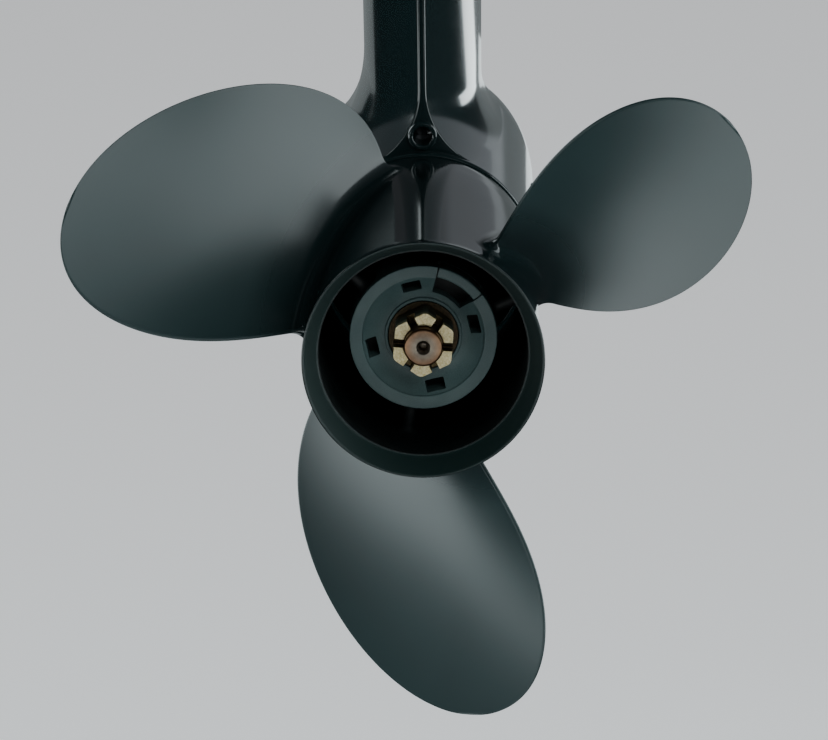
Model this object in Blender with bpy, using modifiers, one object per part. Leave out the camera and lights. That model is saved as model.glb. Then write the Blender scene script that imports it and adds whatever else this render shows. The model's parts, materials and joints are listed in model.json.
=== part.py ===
"""Outboard gearcase with its three-bladed propeller, modelled at full size in metres.

World frame: +Y is forward along the propeller shaft, +X is starboard and +Z is up. The origin
lies on the flat top face of the mounting flange. Lengths along the shaft are counted forward
from the rear edge of the propeller's hub, and heights up from the shaft's axis.
"""

from math import atan2, cos, pi, radians, sin, sqrt, tau

import bmesh
import bpy
import numpy as np
from mathutils import Matrix, Vector

# Driving dimensions, in metres and degrees
GAP = 0.0003
CHORD_SAG = 0.0001
CUT_MARGIN = 0.0040
CUT_LENGTH = 0.0600
SHAFT_DROP = 0.300
RIM_Y = -0.300

# Propeller blades
PROPELLER_RADIUS = 0.1778
BLADE_ROOT_RADIUS = 0.0540
BLADE_NAMES = ("starboard", "port", "lower")
FIRST_BLADE_ANGLE = 20.1
BLADE_STEP = 120.0
PITCH = 0.665
ROOT_FORWARD = 0.0930
RAKE = (-0.127, -1.86)
SKEW = (0.090, 0.408, -0.212)
HALF_CHORD = (0.565, 0.319, -0.765, 0.353)
ROOT_THICKNESS = 0.0125
TIP_THICKNESS = 0.0040
EDGE_THICKNESS = 0.0020
THICKNESS_POWER = 0.8
TIP_CUT = 86.0

# Barrel, webs and inner ring of the hub
HUB_LENGTH = 0.1760
RIM_RADIUS = 0.0564
RIM_LIP = 0.0010
BARREL_RADIUS = 0.0537
BARREL_FRONT_RADIUS = 0.0528
BARREL_BORE = 0.0484
OUTER_FLARE = 0.0170
INNER_FLARE = 0.0137
INNER_FLARE_POWER = 1.1
OUTER_FLARE_STEPS = (0.0110, 0.0050)
INNER_FLARE_STEPS = (0.0065, 0.0110)
TAPER_START = 0.1500
RING_RADIUS = 0.0343
RING_BORE = 0.0282
RING_REAR = 0.0410
RING_FRONT = 0.1600
RING_EDGE = 0.0008
WEB_THICKNESS = 0.0060
WEB_REAR = 0.0480
WEB_FRONT = 0.1580

# End plate with its windows, and the key segment
PLATE_REAR = 0.0430
PLATE_FRONT = 0.0560
PLATE_BORE = 0.0165
PLATE_DISH = 0.0030
PLATE_SLOPE_START = 0.0250
PLATE_SHOULDER = 0.0004
PLATE_LIP = 0.0006
WINDOW_CIRCLE = 0.0242
WINDOW_WIDE = 0.0090
WINDOW_TALL = 0.0052
FIRST_WINDOW_ANGLE = 12.6
KEY_ANGLES = (36.0, 78.0)
KEY_DEPTH = 0.0120
KEY_SLACK = 1.0
KEY_INNER_RADIUS = 0.0294
KEY_POCKET_RADIUS = 0.0208
KEY_POCKET_DEPTH = 0.0080

# Bush, sleeve, washers, nut, pin and shaft
BUSH_FRONT = 0.1500
SLEEVE_RADIUS = 0.0180
SLEEVE_REAR = 0.0485
SLEEVE_FRONT = 0.1540
SPLINE_RADIUS = 0.0125
SPLINE_FRONT = 0.1545
JOURNAL_RADIUS = 0.0150
JOURNAL_REAR = 0.1560
THRUST_WASHER_RADIUS = 0.0255
THRUST_WASHER_STEP = 0.1600
THRUST_WASHER_FRONT = 0.1700
THRUST_WASHER_NECK = 0.0200
NUT_ACROSS_FLATS = 0.0270
NUT_REAR = 0.0270
NUT_FRONT = 0.0450
NUT_SLOT_ANGLE = -5.0
NUT_SLOT_WIDTH = 0.0040
NUT_SLOT_DEPTH = 0.0065
NUT_WASHER_FRONT = 0.0482
PIN_RADIUS = 0.0015
PIN_LENGTH = 0.0280
PIN_FORWARD = 0.0305
THREAD_RADIUS = 0.0090
THREAD_FRONT = 0.0530
THREAD_RELIEF = 0.0030
SHAFT_END = 0.0220
SHAFT_CHAMFER = 0.0014
CENTRE_DRILLING = ((0.0033, 0.0), (0.0019, 0.0016), (0.0019, 0.0060), (0.0, 0.0070))

# Bullet of the gearcase with its exhaust bore and bearing carrier
RUNNING_CLEARANCE = 0.0050
TORPEDO_REAR = HUB_LENGTH + RUNNING_CLEARANCE
TORPEDO_REAR_RADIUS = 0.0534
TORPEDO_LIP = 0.0012
TORPEDO_RADIUS = 0.0530
NOSE_START = 0.3350
NOSE_TIP = 0.4500
NOSE_POWERS = (2.2, 0.62)
EXHAUST_BORE = 0.0470
EXHAUST_DEPTH = 0.0550
CARRIER_RADIUS = 0.0300
CARRIER_FLANGE = 0.0060
CARRIER_SHOULDER = 0.0040
CARRIER_CHAMFER = 0.0020
CARRIER_RIBS = 3
CARRIER_RIB = (0.0060, 0.0400)
CARRIER_RIB_SUNK = 0.0060
CARRIER_RIB_BACK = 0.0240
SHAFT_SETBACK = 0.0040
CARRIER_REAR = TORPEDO_REAR + 0.0050
SEAL_RADIUS = 0.0220
SEAL_THICKNESS = 0.0035
BEARING_CLEARANCE = 0.0005
PLUG_RADIUS = 0.0085
PLUG_LENGTH = 0.0065
PLUG_SLOT = (0.0040, 0.0400, 0.0018)
PLUG_STANDS_OUT = 0.0005
DRAIN_PLUG = (0.3700, -0.0120)
VENT_PLUG = (0.3000, 0.0)

# Lower leg, its foot and its tail
LEG_HALF_THICKNESS = 0.0284
LEG_REAR = 0.1835
LEG_FRONT = 0.3950
LEG_THICKEST = 0.40
BLUNT_NOSE = 0.0013
LEG_REAR_SWEEP = 0.05
LEG_FRONT_SWEEP = -0.02
LEG_SPREAD = 0.01
FOOT_TOP = 0.0660
FOOT_CIRCLE = TORPEDO_RADIUS + 0.0010
FOOT_HEIGHTS = (0.0405, 0.0450)
UPRIGHT_HEIGHTS = (0.1300, 0.1700)
TAIL_HEIGHTS = (0.0500, 0.0545, 0.0615, 0.0690, 0.0755, 0.0880)
TAIL_HALF_WIDTHS = (0.0200, 0.0157, 0.0100, 0.0041, 0.0038, 0.0013)
BOSS_HEIGHT = 0.0615
BOSS_RADIUS = 0.0070
BOSS_BORE = 0.0045
BOSS_LENGTH = 0.0160
BOSS_HOLE_DEPTH = 0.0120
BOSS_STANDS_OUT = 0.0015
BOSS_CHAMFER = 0.0008

# Water inlets, skeg, anti-ventilation plate, trim tab, upper leg and mounting flange
INLET_PLACE = (0.0340, 0.0450, 0.1050)
INLET_SIZE = (0.0300, 0.0400, 0.0500)
INLET_SLOTS = 5
INLET_SLOT_PITCH = 0.0085
INLET_SLOT = (0.0600, 0.0300, 0.0035)
SKEG_TOP = 0.0300
SKEG_DEPTH = 0.1980
SKEG_REAR = (0.1980, 0.0120)
SKEG_FRONT = (0.3720, -0.0920)
SKEG_SWEEP_POWER = 1.3
SKEG_HALF_THICKNESS = (0.0085, -0.0050)
SKEG_THICKEST = 0.35
SKEG_EDGE = 0.0010
SKEG_CORNER = 0.0160
VENT_PLATE_BOTTOM = 0.2050
VENT_PLATE_THICKNESS = 0.0070
VENT_PLATE_CHAMFER = 0.0015
VENT_PLATE_OUTLINE = (0.1100, 0.0400, -0.2800, -0.3300, 0.0500, 0.0850)
TAB_LENGTH = 0.0760
TAB_HALF_THICKNESS = 0.0075
TAB_DEPTH = 0.0160
TAB_ROUNDING = 0.0040
TAB_BOLT_FORWARD = 0.0460
TAB_BOLT_RADIUS = 0.0080
TAB_BOLT_HEIGHT = 0.0060
TAB_EDGE = 0.0010
TAB_TAPER = 0.2
FLANGE_THICKNESS = 0.0140
FLANGE_CHAMFER = 0.0012
FLANGE_OUTLINE = (0.1030, 0.0450, -0.1150, -0.1500, 0.0570, 0.0360)
UPPER_REAR = (LEG_REAR + 0.0115, -0.0300)
UPPER_FRONT = (LEG_FRONT - 0.0030, 0.0020)
UPPER_HALF_THICKNESS = (LEG_HALF_THICKNESS + 0.0020, 0.0096)
UPPER_EDGE = (0.0013, 0.0020)
DUCT_PLACE = (0.0, -0.0350)
DUCT_SIZE = (0.0280, 0.0460)
BORE_FLOOR = -0.0750
BORE_TOP = 0.0650
DRIVESHAFT_Y = 0.0300
DRIVESHAFT_BORE = 0.0160
DRIVESHAFT_SEAL_BORE = 0.0100
DRIVESHAFT_SEAL_LEVELS = (-0.0130, -0.0060)
SHIFT_ROD_Y = 0.0640
SHIFT_ROD_BORE = 0.0050
WATER_TUBE_Y = -0.0850
WATER_TUBE_BORE = 0.0060
BOLT_PLACES = ((0.0480, 0.0100), (-0.0480, 0.0100), (0.0300, -0.1000), (-0.0300, -0.1000))
BOLT_HOLE_RADIUS = 0.0045

ROUND = 64
SMALL_ROUND = 32
TINY_ROUND = 24
FOIL_POINTS = 17
PLAN_POINTS = 27

FINISHES = {
    "painted_aluminium": ((0.012, 0.020, 0.021), 0.25, 0.0),
    "blade_paint": ((0.060, 0.090, 0.092), 0.38, 0.0),
    "hub_composite": ((0.034, 0.058, 0.064), 0.45, 0.0),
    "brass": ((0.66, 0.55, 0.29), 0.30, 1.0),
    "stainless_steel": ((0.50, 0.47, 0.43), 0.30, 1.0),
    "rubber": ((0.010, 0.010, 0.011), 0.80, 0.0),
    "zinc": ((0.36, 0.38, 0.39), 0.55, 0.9),
}


def clear_scene():
    """Remove whatever the scene holds, so that the script can be run again."""
    for obj in list(bpy.data.objects):
        bpy.data.objects.remove(obj, do_unlink=True)


def make_collection(name):
    collection = bpy.data.collections.new(name)
    bpy.context.scene.collection.children.link(collection)
    return collection


def make_material(name, finish):
    """A Principled BSDF of its own for one object, from the finish's colour, roughness and metal."""
    colour, roughness, metallic = FINISHES[finish]
    material = bpy.data.materials.new(name + "_" + finish)
    material.use_nodes = True
    shader = material.node_tree.nodes["Principled BSDF"]
    shader.inputs["Base Color"].default_value = (*colour, 1.0)
    shader.inputs["Roughness"].default_value = roughness
    shader.inputs["Metallic"].default_value = metallic
    material.diffuse_color = (*colour, 1.0)
    return material


clear_scene()
PARTS = make_collection("outboard_gearcase_and_propeller")
CUTTERS = make_collection("cutters")


def make_axis(name, location, rotation, parent=None):
    """An empty that carries pieces, such as the shaft's axis."""
    axis = bpy.data.objects.new(name, None)
    axis.location = location
    axis.rotation_euler = rotation
    axis.parent = parent
    PARTS.objects.link(axis)
    return axis


# Both axes have local Z along the shaft, pointing forward, and start at the hub's rear edge.
HOUSING = make_axis("gearcase_frame", (0, 0, 0), (0, 0, 0))
FIXED_AXIS = make_axis("gearcase_shaft_axis", (0, RIM_Y, -SHAFT_DROP), (-pi / 2, 0, 0), HOUSING)
SPIN_AXIS = make_axis("propeller_axis", (0, RIM_Y, -SHAFT_DROP), (-pi / 2, 0, 0))


def finish_mesh(mesh):
    """Merge doubled points, turn every face outwards and shade round surfaces smooth."""
    work = bmesh.new()
    work.from_mesh(mesh)
    bmesh.ops.remove_doubles(work, verts=work.verts, dist=1e-6)
    bmesh.ops.recalc_face_normals(work, faces=work.faces)
    work.to_mesh(mesh)
    work.free()
    mesh.shade_smooth()
    mesh.set_sharp_from_angle(angle=radians(35))


def add_piece(name, mesh, finish, parent, matrix=None):
    """Link one named sub-part with its own material under its axis."""
    obj = bpy.data.objects.new(name, mesh)
    mesh.materials.append(make_material(name, finish))
    obj.parent = parent
    if matrix is not None:
        obj.matrix_basis = matrix
    PARTS.objects.link(obj)
    return obj


def add_cutter(name, mesh, parent, matrix=None):
    """Link a hidden wire shape that a Boolean reads."""
    obj = bpy.data.objects.new(name, mesh)
    obj.parent = parent
    if matrix is not None:
        obj.matrix_basis = matrix
    obj.hide_render = True
    obj.display_type = "WIRE"
    CUTTERS.objects.link(obj)
    return obj


def combine(obj, other, operation="DIFFERENCE"):
    """Cut, join or intersect obj with the other shape."""
    boolean = obj.modifiers.new(other.name, "BOOLEAN")
    boolean.operation = operation
    boolean.object = other
    boolean.solver = "EXACT"


def box_mesh(name, size):
    """A box centred on its own origin."""
    mesh = bpy.data.meshes.new(name)
    work = bmesh.new()
    bmesh.ops.create_cube(work, size=1.0)
    bmesh.ops.scale(work, vec=Vector(size), verts=work.verts)
    work.to_mesh(mesh)
    work.free()
    return mesh


def rod_mesh(name, radius, length, segments=SMALL_ROUND, turn=0.0):
    """A cylinder or prism along local Z, centred on its own origin and turned by an angle."""
    mesh = bpy.data.meshes.new(name)
    work = bmesh.new()
    spin = Matrix.Rotation(turn, 4, "Z")
    bmesh.ops.create_cone(
        work, cap_ends=True, segments=segments, radius1=radius, radius2=radius, depth=length, matrix=spin
    )
    work.to_mesh(mesh)
    work.free()
    return mesh


def profile_mesh(name, profile):
    """A closed outline of (radius, length) points in the local XZ plane, for a Screw modifier.

    It runs down the outer side, so its front points come first.
    """
    mesh = bpy.data.meshes.new(name)
    count = len(profile)
    points = [(radius, 0.0, along) for radius, along in profile]
    closed = profile[0][0] > 0 or profile[-1][0] > 0
    edges = [(i, (i + 1) % count) for i in range(count if closed else count - 1)]
    mesh.from_pydata(points, edges, [])
    return mesh


def turn_profile(obj, segments=ROUND):
    """Revolve an outline about local Z into a closed solid."""
    screw = obj.modifiers.new("turned", "SCREW")
    screw.axis = "Z"
    screw.angle = tau
    screw.steps = segments
    screw.render_steps = segments
    screw.use_merge_vertices = True
    screw.merge_threshold = 0.00001
    screw.use_smooth_shade = True


def add_turned(name, profile, finish, parent, segments=ROUND, matrix=None):
    obj = add_piece(name, profile_mesh(name, profile), finish, parent, matrix)
    turn_profile(obj, segments)
    return obj


def ring_profile(outer, inner, rear, front):
    """Outline of a plain ring between two radii and two lengths."""
    return ((outer, front), (outer, rear), (inner, rear), (inner, front))


def loft_mesh(name, sections):
    """Skin a stack of closed sections and close both ends.

    Each section holds n points on one side and then n on the other side in reverse, so that the
    ends close as a ladder between facing points.
    """
    sections = np.asarray(sections, dtype=float)
    rings, count, _ = sections.shape
    half = count // 2
    around = np.arange(count)
    onward = (around + 1) % count
    faces = []
    for ring in range(rings - 1):
        low = ring * count
        high = low + count
        faces += np.c_[low + around, low + onward, high + onward, high + around].tolist()
    near = np.arange(half - 1)
    rungs = np.c_[near, near + 1, count - 2 - near, count - 1 - near]
    faces += rungs[:, ::-1].tolist()
    faces += (rungs + (rings - 1) * count).tolist()
    mesh = bpy.data.meshes.new(name)
    mesh.from_pydata(sections.reshape(-1, 3).tolist(), [], faces)
    finish_mesh(mesh)
    return mesh


def shaft_point(radius, angle, forward):
    """Local point on a shaft axis: the angle runs anticlockwise from starboard, seen from astern."""
    return (radius * cos(angle), -radius * sin(angle), forward)


def around_shaft(radius, degrees, forward):
    """Local matrix at a radius and angle: X points outwards and Z forward along the shaft."""
    turn = Matrix.Rotation(-radians(degrees), 4, "Z")
    return turn @ Matrix.Translation((radius, 0, forward))


def sector_mesh(name, radii, degrees, lengths):
    """A block bounded by two radii, two angles and two lengths along the shaft."""
    angles = np.radians(np.linspace(*degrees, 9))
    inner, outer = radii
    sections = [
        [shaft_point(outer, angle, forward) for angle in angles]
        + [shaft_point(inner, angle, forward) for angle in angles[::-1]]
        for forward in lengths
    ]
    return loft_mesh(name, sections)


def law(terms, share):
    """A polynomial in the share of the blade's span, with no constant term."""
    return sum(term * share ** (power + 1) for power, term in enumerate(terms))


def blade_section(share, chordwise=13):
    """One blade section at a share of the span, on a cylinder about the shaft.

    The rear face is a helicoid of the pitch, shifted by rake and skew. The front face stands off
    it along the helicoid's normal by the local thickness.
    """
    radius = BLADE_ROOT_RADIUS + (PROPELLER_RADIUS - BLADE_ROOT_RADIUS) * share
    spread = radius - BLADE_ROOT_RADIUS
    edge_fall = sqrt(max(1.0 - share * share, 0.0))
    half_chord = edge_fall * (HALF_CHORD[0] + law(HALF_CHORD[1:], share))
    across = np.sin(np.linspace(-pi / 2, pi / 2, chordwise))
    angle = law(SKEW, share) + across * half_chord
    forward = ROOT_FORWARD + RAKE[0] * spread + RAKE[1] * spread * spread - PITCH / tau * angle
    thickest = ROOT_THICKNESS + (TIP_THICKNESS - ROOT_THICKNESS) * share ** THICKNESS_POWER
    thickness = EDGE_THICKNESS + (thickest - EDGE_THICKNESS) * (1.0 - across * across)
    slope = atan2(PITCH / tau, radius)
    lift = thickness * cos(slope)
    turn = thickness * sin(slope) / radius
    rear_face = [shaft_point(radius, a, f) for a, f in zip(angle, forward)]
    front_face = [shaft_point(radius, a, f) for a, f in zip(angle + turn, forward + lift)]
    return rear_face + front_face[::-1]


def add_blades():
    """Three like blades, the first at starboard and the rest a third of a turn on."""
    shares = np.sin(np.linspace(0.0, radians(TIP_CUT), 13))
    mesh = loft_mesh("blade", [blade_section(share) for share in shares])
    for number, place in enumerate(BLADE_NAMES):
        turn = Matrix.Rotation(-radians(FIRST_BLADE_ANGLE + number * BLADE_STEP), 4, "Z")
        add_piece("blade_" + place, mesh.copy(), "blade_paint", SPIN_AXIS, turn)


def barrel_outside(forward):
    """Outer radius of the barrel: flared over its rear end and drawn in towards its front."""
    flare = np.clip(1.0 - forward / OUTER_FLARE, 0.0, 1.0)
    taper = np.clip((forward - TAPER_START) / (HUB_LENGTH - TAPER_START), 0.0, 1.0)
    grown = (RIM_RADIUS - BARREL_RADIUS) * flare ** 2
    return BARREL_RADIUS + grown - (BARREL_RADIUS - BARREL_FRONT_RADIUS) * taper


def barrel_inside(forward):
    """Inner radius of the barrel, which opens almost like a cone over the flare."""
    flare = np.clip(1.0 - forward / INNER_FLARE, 0.0, 1.0)
    return BARREL_BORE + (RIM_RADIUS - RIM_LIP - BARREL_BORE) * flare ** INNER_FLARE_POWER


def add_barrel():
    """Outer exhaust tube of the hub, flared at its rear edge."""
    outside = np.array((HUB_LENGTH - RIM_LIP, TAPER_START, OUTER_FLARE, *OUTER_FLARE_STEPS, RIM_LIP))
    inside = np.array((0.0, *INNER_FLARE_STEPS, INNER_FLARE, HUB_LENGTH))
    profile = [(BARREL_FRONT_RADIUS - RIM_LIP, HUB_LENGTH)]
    profile += np.c_[barrel_outside(outside), outside].tolist()
    profile += np.c_[barrel_inside(inside), inside].tolist()
    add_turned("hub_barrel", profile, "painted_aluminium", SPIN_AXIS)


def add_inner_ring():
    """Inner tube of the hub, with the key segment in a notch of its rear face."""
    profile = (
        (RING_RADIUS - RING_EDGE, RING_FRONT),
        (RING_RADIUS, RING_FRONT - RING_EDGE),
        (RING_RADIUS, RING_REAR + RING_EDGE),
        (RING_RADIUS - RING_EDGE, RING_REAR),
        (RING_BORE + RING_EDGE / 2, RING_REAR),
        (RING_BORE, RING_REAR + RING_EDGE / 2),
        (RING_BORE, RING_FRONT),
    )
    ring = add_turned("inner_hub_ring", profile, "hub_composite", SPIN_AXIS)
    radii = (RING_BORE - CUT_MARGIN, RING_RADIUS + CUT_MARGIN)
    lengths = (RING_REAR - CUT_MARGIN, RING_REAR + KEY_DEPTH)
    notch = sector_mesh("key_notch", radii, KEY_ANGLES, lengths)
    combine(ring, add_cutter("key_notch", notch, SPIN_AXIS))
    degrees = (KEY_ANGLES[0] + KEY_SLACK, KEY_ANGLES[1] - KEY_SLACK)
    lengths = (RING_REAR, RING_REAR + KEY_DEPTH - GAP)
    key = sector_mesh("key_segment", (KEY_INNER_RADIUS, RING_RADIUS), degrees, lengths)
    add_piece("key_segment", key, "hub_composite", SPIN_AXIS)


def add_webs():
    """Ribs that join the barrel to the inner ring, one under each blade."""
    reach = BARREL_BORE - RING_RADIUS - 2 * GAP
    middle = (BARREL_BORE + RING_RADIUS) / 2 - CHORD_SAG / 2
    for number, place in enumerate(BLADE_NAMES):
        name = "web_" + place
        mesh = box_mesh(name, (reach, WEB_THICKNESS, WEB_FRONT - WEB_REAR))
        degrees = FIRST_BLADE_ANGLE + number * BLADE_STEP
        seat = around_shaft(middle, degrees, (WEB_FRONT + WEB_REAR) / 2)
        add_piece(name, mesh, "painted_aluminium", SPIN_AXIS, seat)


def add_end_plate():
    """Dished plate that closes the inner ring round the nut, with four windows and a key pocket."""
    profile = (
        (RING_BORE - GAP, PLATE_FRONT),
        (RING_BORE - GAP, PLATE_REAR),
        (PLATE_SLOPE_START, PLATE_REAR + PLATE_SHOULDER),
        (PLATE_BORE + PLATE_LIP, PLATE_REAR + PLATE_DISH),
        (PLATE_BORE, PLATE_REAR + PLATE_DISH + PLATE_LIP),
        (PLATE_BORE, PLATE_FRONT),
    )
    plate = add_turned("hub_end_plate", profile, "hub_composite", SPIN_AXIS)
    for number in range(4):
        name = "window_cut_" + str(number + 1)
        hole = box_mesh(name, (WINDOW_TALL, WINDOW_WIDE, CUT_LENGTH))
        place = around_shaft(WINDOW_CIRCLE, FIRST_WINDOW_ANGLE + 90.0 * number, PLATE_REAR)
        combine(plate, add_cutter(name, hole, SPIN_AXIS, place))
    lengths = (PLATE_REAR - CUT_MARGIN, PLATE_REAR + KEY_POCKET_DEPTH)
    radii = (KEY_POCKET_RADIUS, RING_BORE + CUT_MARGIN)
    pocket = sector_mesh("key_pocket", radii, KEY_ANGLES, lengths)
    combine(plate, add_cutter("key_pocket", pocket, SPIN_AXIS))


def add_bush_and_sleeve():
    """Rubber bush that drives the hub, the splined sleeve in it and the thrust washer ahead."""
    rear = PLATE_FRONT + GAP
    bush = ring_profile(RING_BORE - GAP, SLEEVE_RADIUS + GAP, rear, BUSH_FRONT)
    add_turned("rubber_bush", bush, "rubber", SPIN_AXIS)
    sleeve = (
        (SLEEVE_RADIUS, SLEEVE_FRONT),
        (SLEEVE_RADIUS, rear),
        (PLATE_BORE - GAP, rear),
        (PLATE_BORE - GAP, SLEEVE_REAR),
        (SPLINE_RADIUS + GAP, SLEEVE_REAR),
        (SPLINE_RADIUS + GAP, SLEEVE_FRONT),
    )
    add_turned("drive_sleeve", sleeve, "brass", SPIN_AXIS, SMALL_ROUND)
    washer = (
        (THRUST_WASHER_NECK, THRUST_WASHER_FRONT),
        (THRUST_WASHER_RADIUS, THRUST_WASHER_STEP),
        (THRUST_WASHER_RADIUS, JOURNAL_REAR + GAP),
        (JOURNAL_RADIUS + GAP, JOURNAL_REAR + GAP),
        (JOURNAL_RADIUS + GAP, THRUST_WASHER_FRONT),
    )
    add_turned("thrust_washer", washer, "stainless_steel", SPIN_AXIS, SMALL_ROUND)


def add_shaft():
    """Propeller shaft: threaded end with a centre drilling, splined length and bearing journal."""
    front = TORPEDO_REAR + EXHAUST_DEPTH - SHAFT_SETBACK
    profile = [
        (0.0, front),
        (JOURNAL_RADIUS, front),
        (JOURNAL_RADIUS, JOURNAL_REAR),
        (SPLINE_RADIUS, SPLINE_FRONT),
        (SPLINE_RADIUS, THREAD_FRONT + THREAD_RELIEF),
        (THREAD_RADIUS, THREAD_FRONT),
        (THREAD_RADIUS, SHAFT_END + SHAFT_CHAMFER),
        (THREAD_RADIUS - SHAFT_CHAMFER, SHAFT_END),
    ]
    profile += [(radius, SHAFT_END + deep) for radius, deep in CENTRE_DRILLING]
    shaft = add_turned("propeller_shaft", profile, "stainless_steel", SPIN_AXIS, SMALL_ROUND)
    hole = rod_mesh("pin_hole", PIN_RADIUS + GAP, CUT_LENGTH, 16)
    combine(shaft, add_cutter("pin_hole", hole, SPIN_AXIS, pin_matrix()))


def pin_matrix():
    """Local matrix across the shaft through a pair of the nut's slots, Z along the pin."""
    across = Matrix.Rotation(-radians(NUT_SLOT_ANGLE), 4, "Z") @ Matrix.Rotation(pi / 2, 4, "Y")
    return Matrix.Translation((0, 0, PIN_FORWARD)) @ across


def add_nut_and_pin():
    """Slotted brass nut on its washer, locked by a pin through the shaft's end."""
    corner = NUT_ACROSS_FLATS / 2 / cos(pi / 6)
    mesh = rod_mesh("castle_nut", corner, NUT_FRONT - NUT_REAR, 6, -radians(NUT_SLOT_ANGLE + 30.0))
    place = Matrix.Translation((0, 0, (NUT_FRONT + NUT_REAR) / 2))
    nut = add_piece("castle_nut", mesh, "brass", SPIN_AXIS, place)
    bore = rod_mesh("nut_bore", THREAD_RADIUS + GAP, CUT_LENGTH)
    combine(nut, add_cutter("nut_bore", bore, SPIN_AXIS, place))
    for number in range(3):
        name = "nut_slot_" + str(number + 1)
        slot = box_mesh(name, (CUT_LENGTH, NUT_SLOT_WIDTH, 2 * NUT_SLOT_DEPTH))
        place_slot = around_shaft(0.0, NUT_SLOT_ANGLE + 60.0 * number, NUT_REAR)
        combine(nut, add_cutter(name, slot, SPIN_AXIS, place_slot))
    washer = ring_profile(PLATE_BORE - GAP, THREAD_RADIUS + GAP, NUT_FRONT + GAP, NUT_WASHER_FRONT)
    add_turned("nut_washer", washer, "stainless_steel", SPIN_AXIS, SMALL_ROUND)
    pin = rod_mesh("split_pin", PIN_RADIUS, PIN_LENGTH, 16)
    add_piece("split_pin", pin, "stainless_steel", SPIN_AXIS, pin_matrix())


def torpedo_radius(forward):
    """Outer radius of the gearcase's bullet at a length along the shaft."""
    if forward <= NOSE_START:
        share = (forward - TORPEDO_REAR) / (NOSE_START - TORPEDO_REAR)
        return TORPEDO_REAR_RADIUS + (TORPEDO_RADIUS - TORPEDO_REAR_RADIUS) * share
    share = (forward - NOSE_START) / (NOSE_TIP - NOSE_START)
    return TORPEDO_RADIUS * (1.0 - share ** NOSE_POWERS[0]) ** NOSE_POWERS[1]


def torpedo_outline(extra=0.0):
    """Outer side of the bullet from the nose tip back to where the nose starts."""
    nose = NOSE_START + (NOSE_TIP - NOSE_START) * np.sin(np.linspace(pi / 2, 0.0, 11))
    points = [(torpedo_radius(forward) + extra, forward) for forward in nose[1:]]
    return [(0.0, NOSE_TIP + extra)] + points


def add_torpedo():
    """Bullet of the gearcase and, at its rear, the open exhaust housing round the carrier."""
    seam = TORPEDO_REAR + EXHAUST_DEPTH
    profile = torpedo_outline() + [(torpedo_radius(seam), seam), (0.0, seam)]
    torpedo = add_turned("gearcase_torpedo", profile, "painted_aluminium", FIXED_AXIS)
    housing = (
        (torpedo_radius(seam - GAP), seam - GAP),
        (TORPEDO_REAR_RADIUS, TORPEDO_REAR + TORPEDO_LIP),
        (TORPEDO_REAR_RADIUS - TORPEDO_LIP, TORPEDO_REAR),
        (EXHAUST_BORE, TORPEDO_REAR),
        (EXHAUST_BORE, seam - GAP),
    )
    add_turned("exhaust_housing", housing, "painted_aluminium", FIXED_AXIS)
    add_plug(torpedo, "drain_plug", *DRAIN_PLUG)
    add_plug(torpedo, "vent_plug", *VENT_PLUG)


def add_plug(torpedo, name, forward, height):
    """Slotted screw plug sunk in a pocket on the starboard side of the bullet."""
    floor = sqrt(torpedo_radius(forward) ** 2 - height ** 2) - PLUG_LENGTH + PLUG_STANDS_OUT
    sideways = Matrix.Rotation(pi / 2, 4, "Y")
    pocket = rod_mesh(name + "_pocket", PLUG_RADIUS + GAP, 2 * PLUG_LENGTH, TINY_ROUND)
    place = Matrix.Translation((floor + PLUG_LENGTH, -height, forward)) @ sideways
    combine(torpedo, add_cutter(name + "_pocket", pocket, FIXED_AXIS, place))
    middle = floor + GAP + PLUG_LENGTH / 2
    place = Matrix.Translation((middle, -height, forward)) @ sideways
    mesh = rod_mesh(name, PLUG_RADIUS, PLUG_LENGTH, TINY_ROUND)
    plug = add_piece(name, mesh, "stainless_steel", FIXED_AXIS, place)
    slot = box_mesh(name + "_slot", PLUG_SLOT)
    place = Matrix.Translation((middle + PLUG_LENGTH / 2, -height, forward))
    combine(plug, add_cutter(name + "_slot", slot, FIXED_AXIS, place))


def add_carrier():
    """Bearing carrier in the exhaust bore, with ribs between which the exhaust leaves."""
    front = TORPEDO_REAR + EXHAUST_DEPTH - GAP
    seat = EXHAUST_BORE - GAP - CHORD_SAG
    bore = JOURNAL_RADIUS + BEARING_CLEARANCE
    profile = (
        (seat, front),
        (seat, front - CARRIER_FLANGE),
        (CARRIER_RADIUS, front - CARRIER_FLANGE - CARRIER_SHOULDER),
        (CARRIER_RADIUS, CARRIER_REAR + CARRIER_CHAMFER),
        (CARRIER_RADIUS - CARRIER_CHAMFER, CARRIER_REAR),
        (bore, CARRIER_REAR),
        (bore, front),
    )
    carrier = add_turned("bearing_carrier", profile, "painted_aluminium", FIXED_AXIS)
    reach = EXHAUST_BORE - CARRIER_RADIUS + CARRIER_RIB_SUNK
    for number in range(CARRIER_RIBS):
        name = "carrier_rib_" + str(number + 1)
        rib = box_mesh(name, (reach - GAP, *CARRIER_RIB))
        degrees = 90.0 + 360.0 / CARRIER_RIBS * number
        place = around_shaft(EXHAUST_BORE - GAP - reach / 2, degrees, front - CARRIER_RIB_BACK)
        combine(carrier, add_cutter(name, rib, FIXED_AXIS, place), "UNION")
    seal = ring_profile(SEAL_RADIUS, bore, CARRIER_REAR - SEAL_THICKNESS, CARRIER_REAR - GAP)
    add_turned("shaft_seal", seal, "rubber", FIXED_AXIS, SMALL_ROUND)


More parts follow.
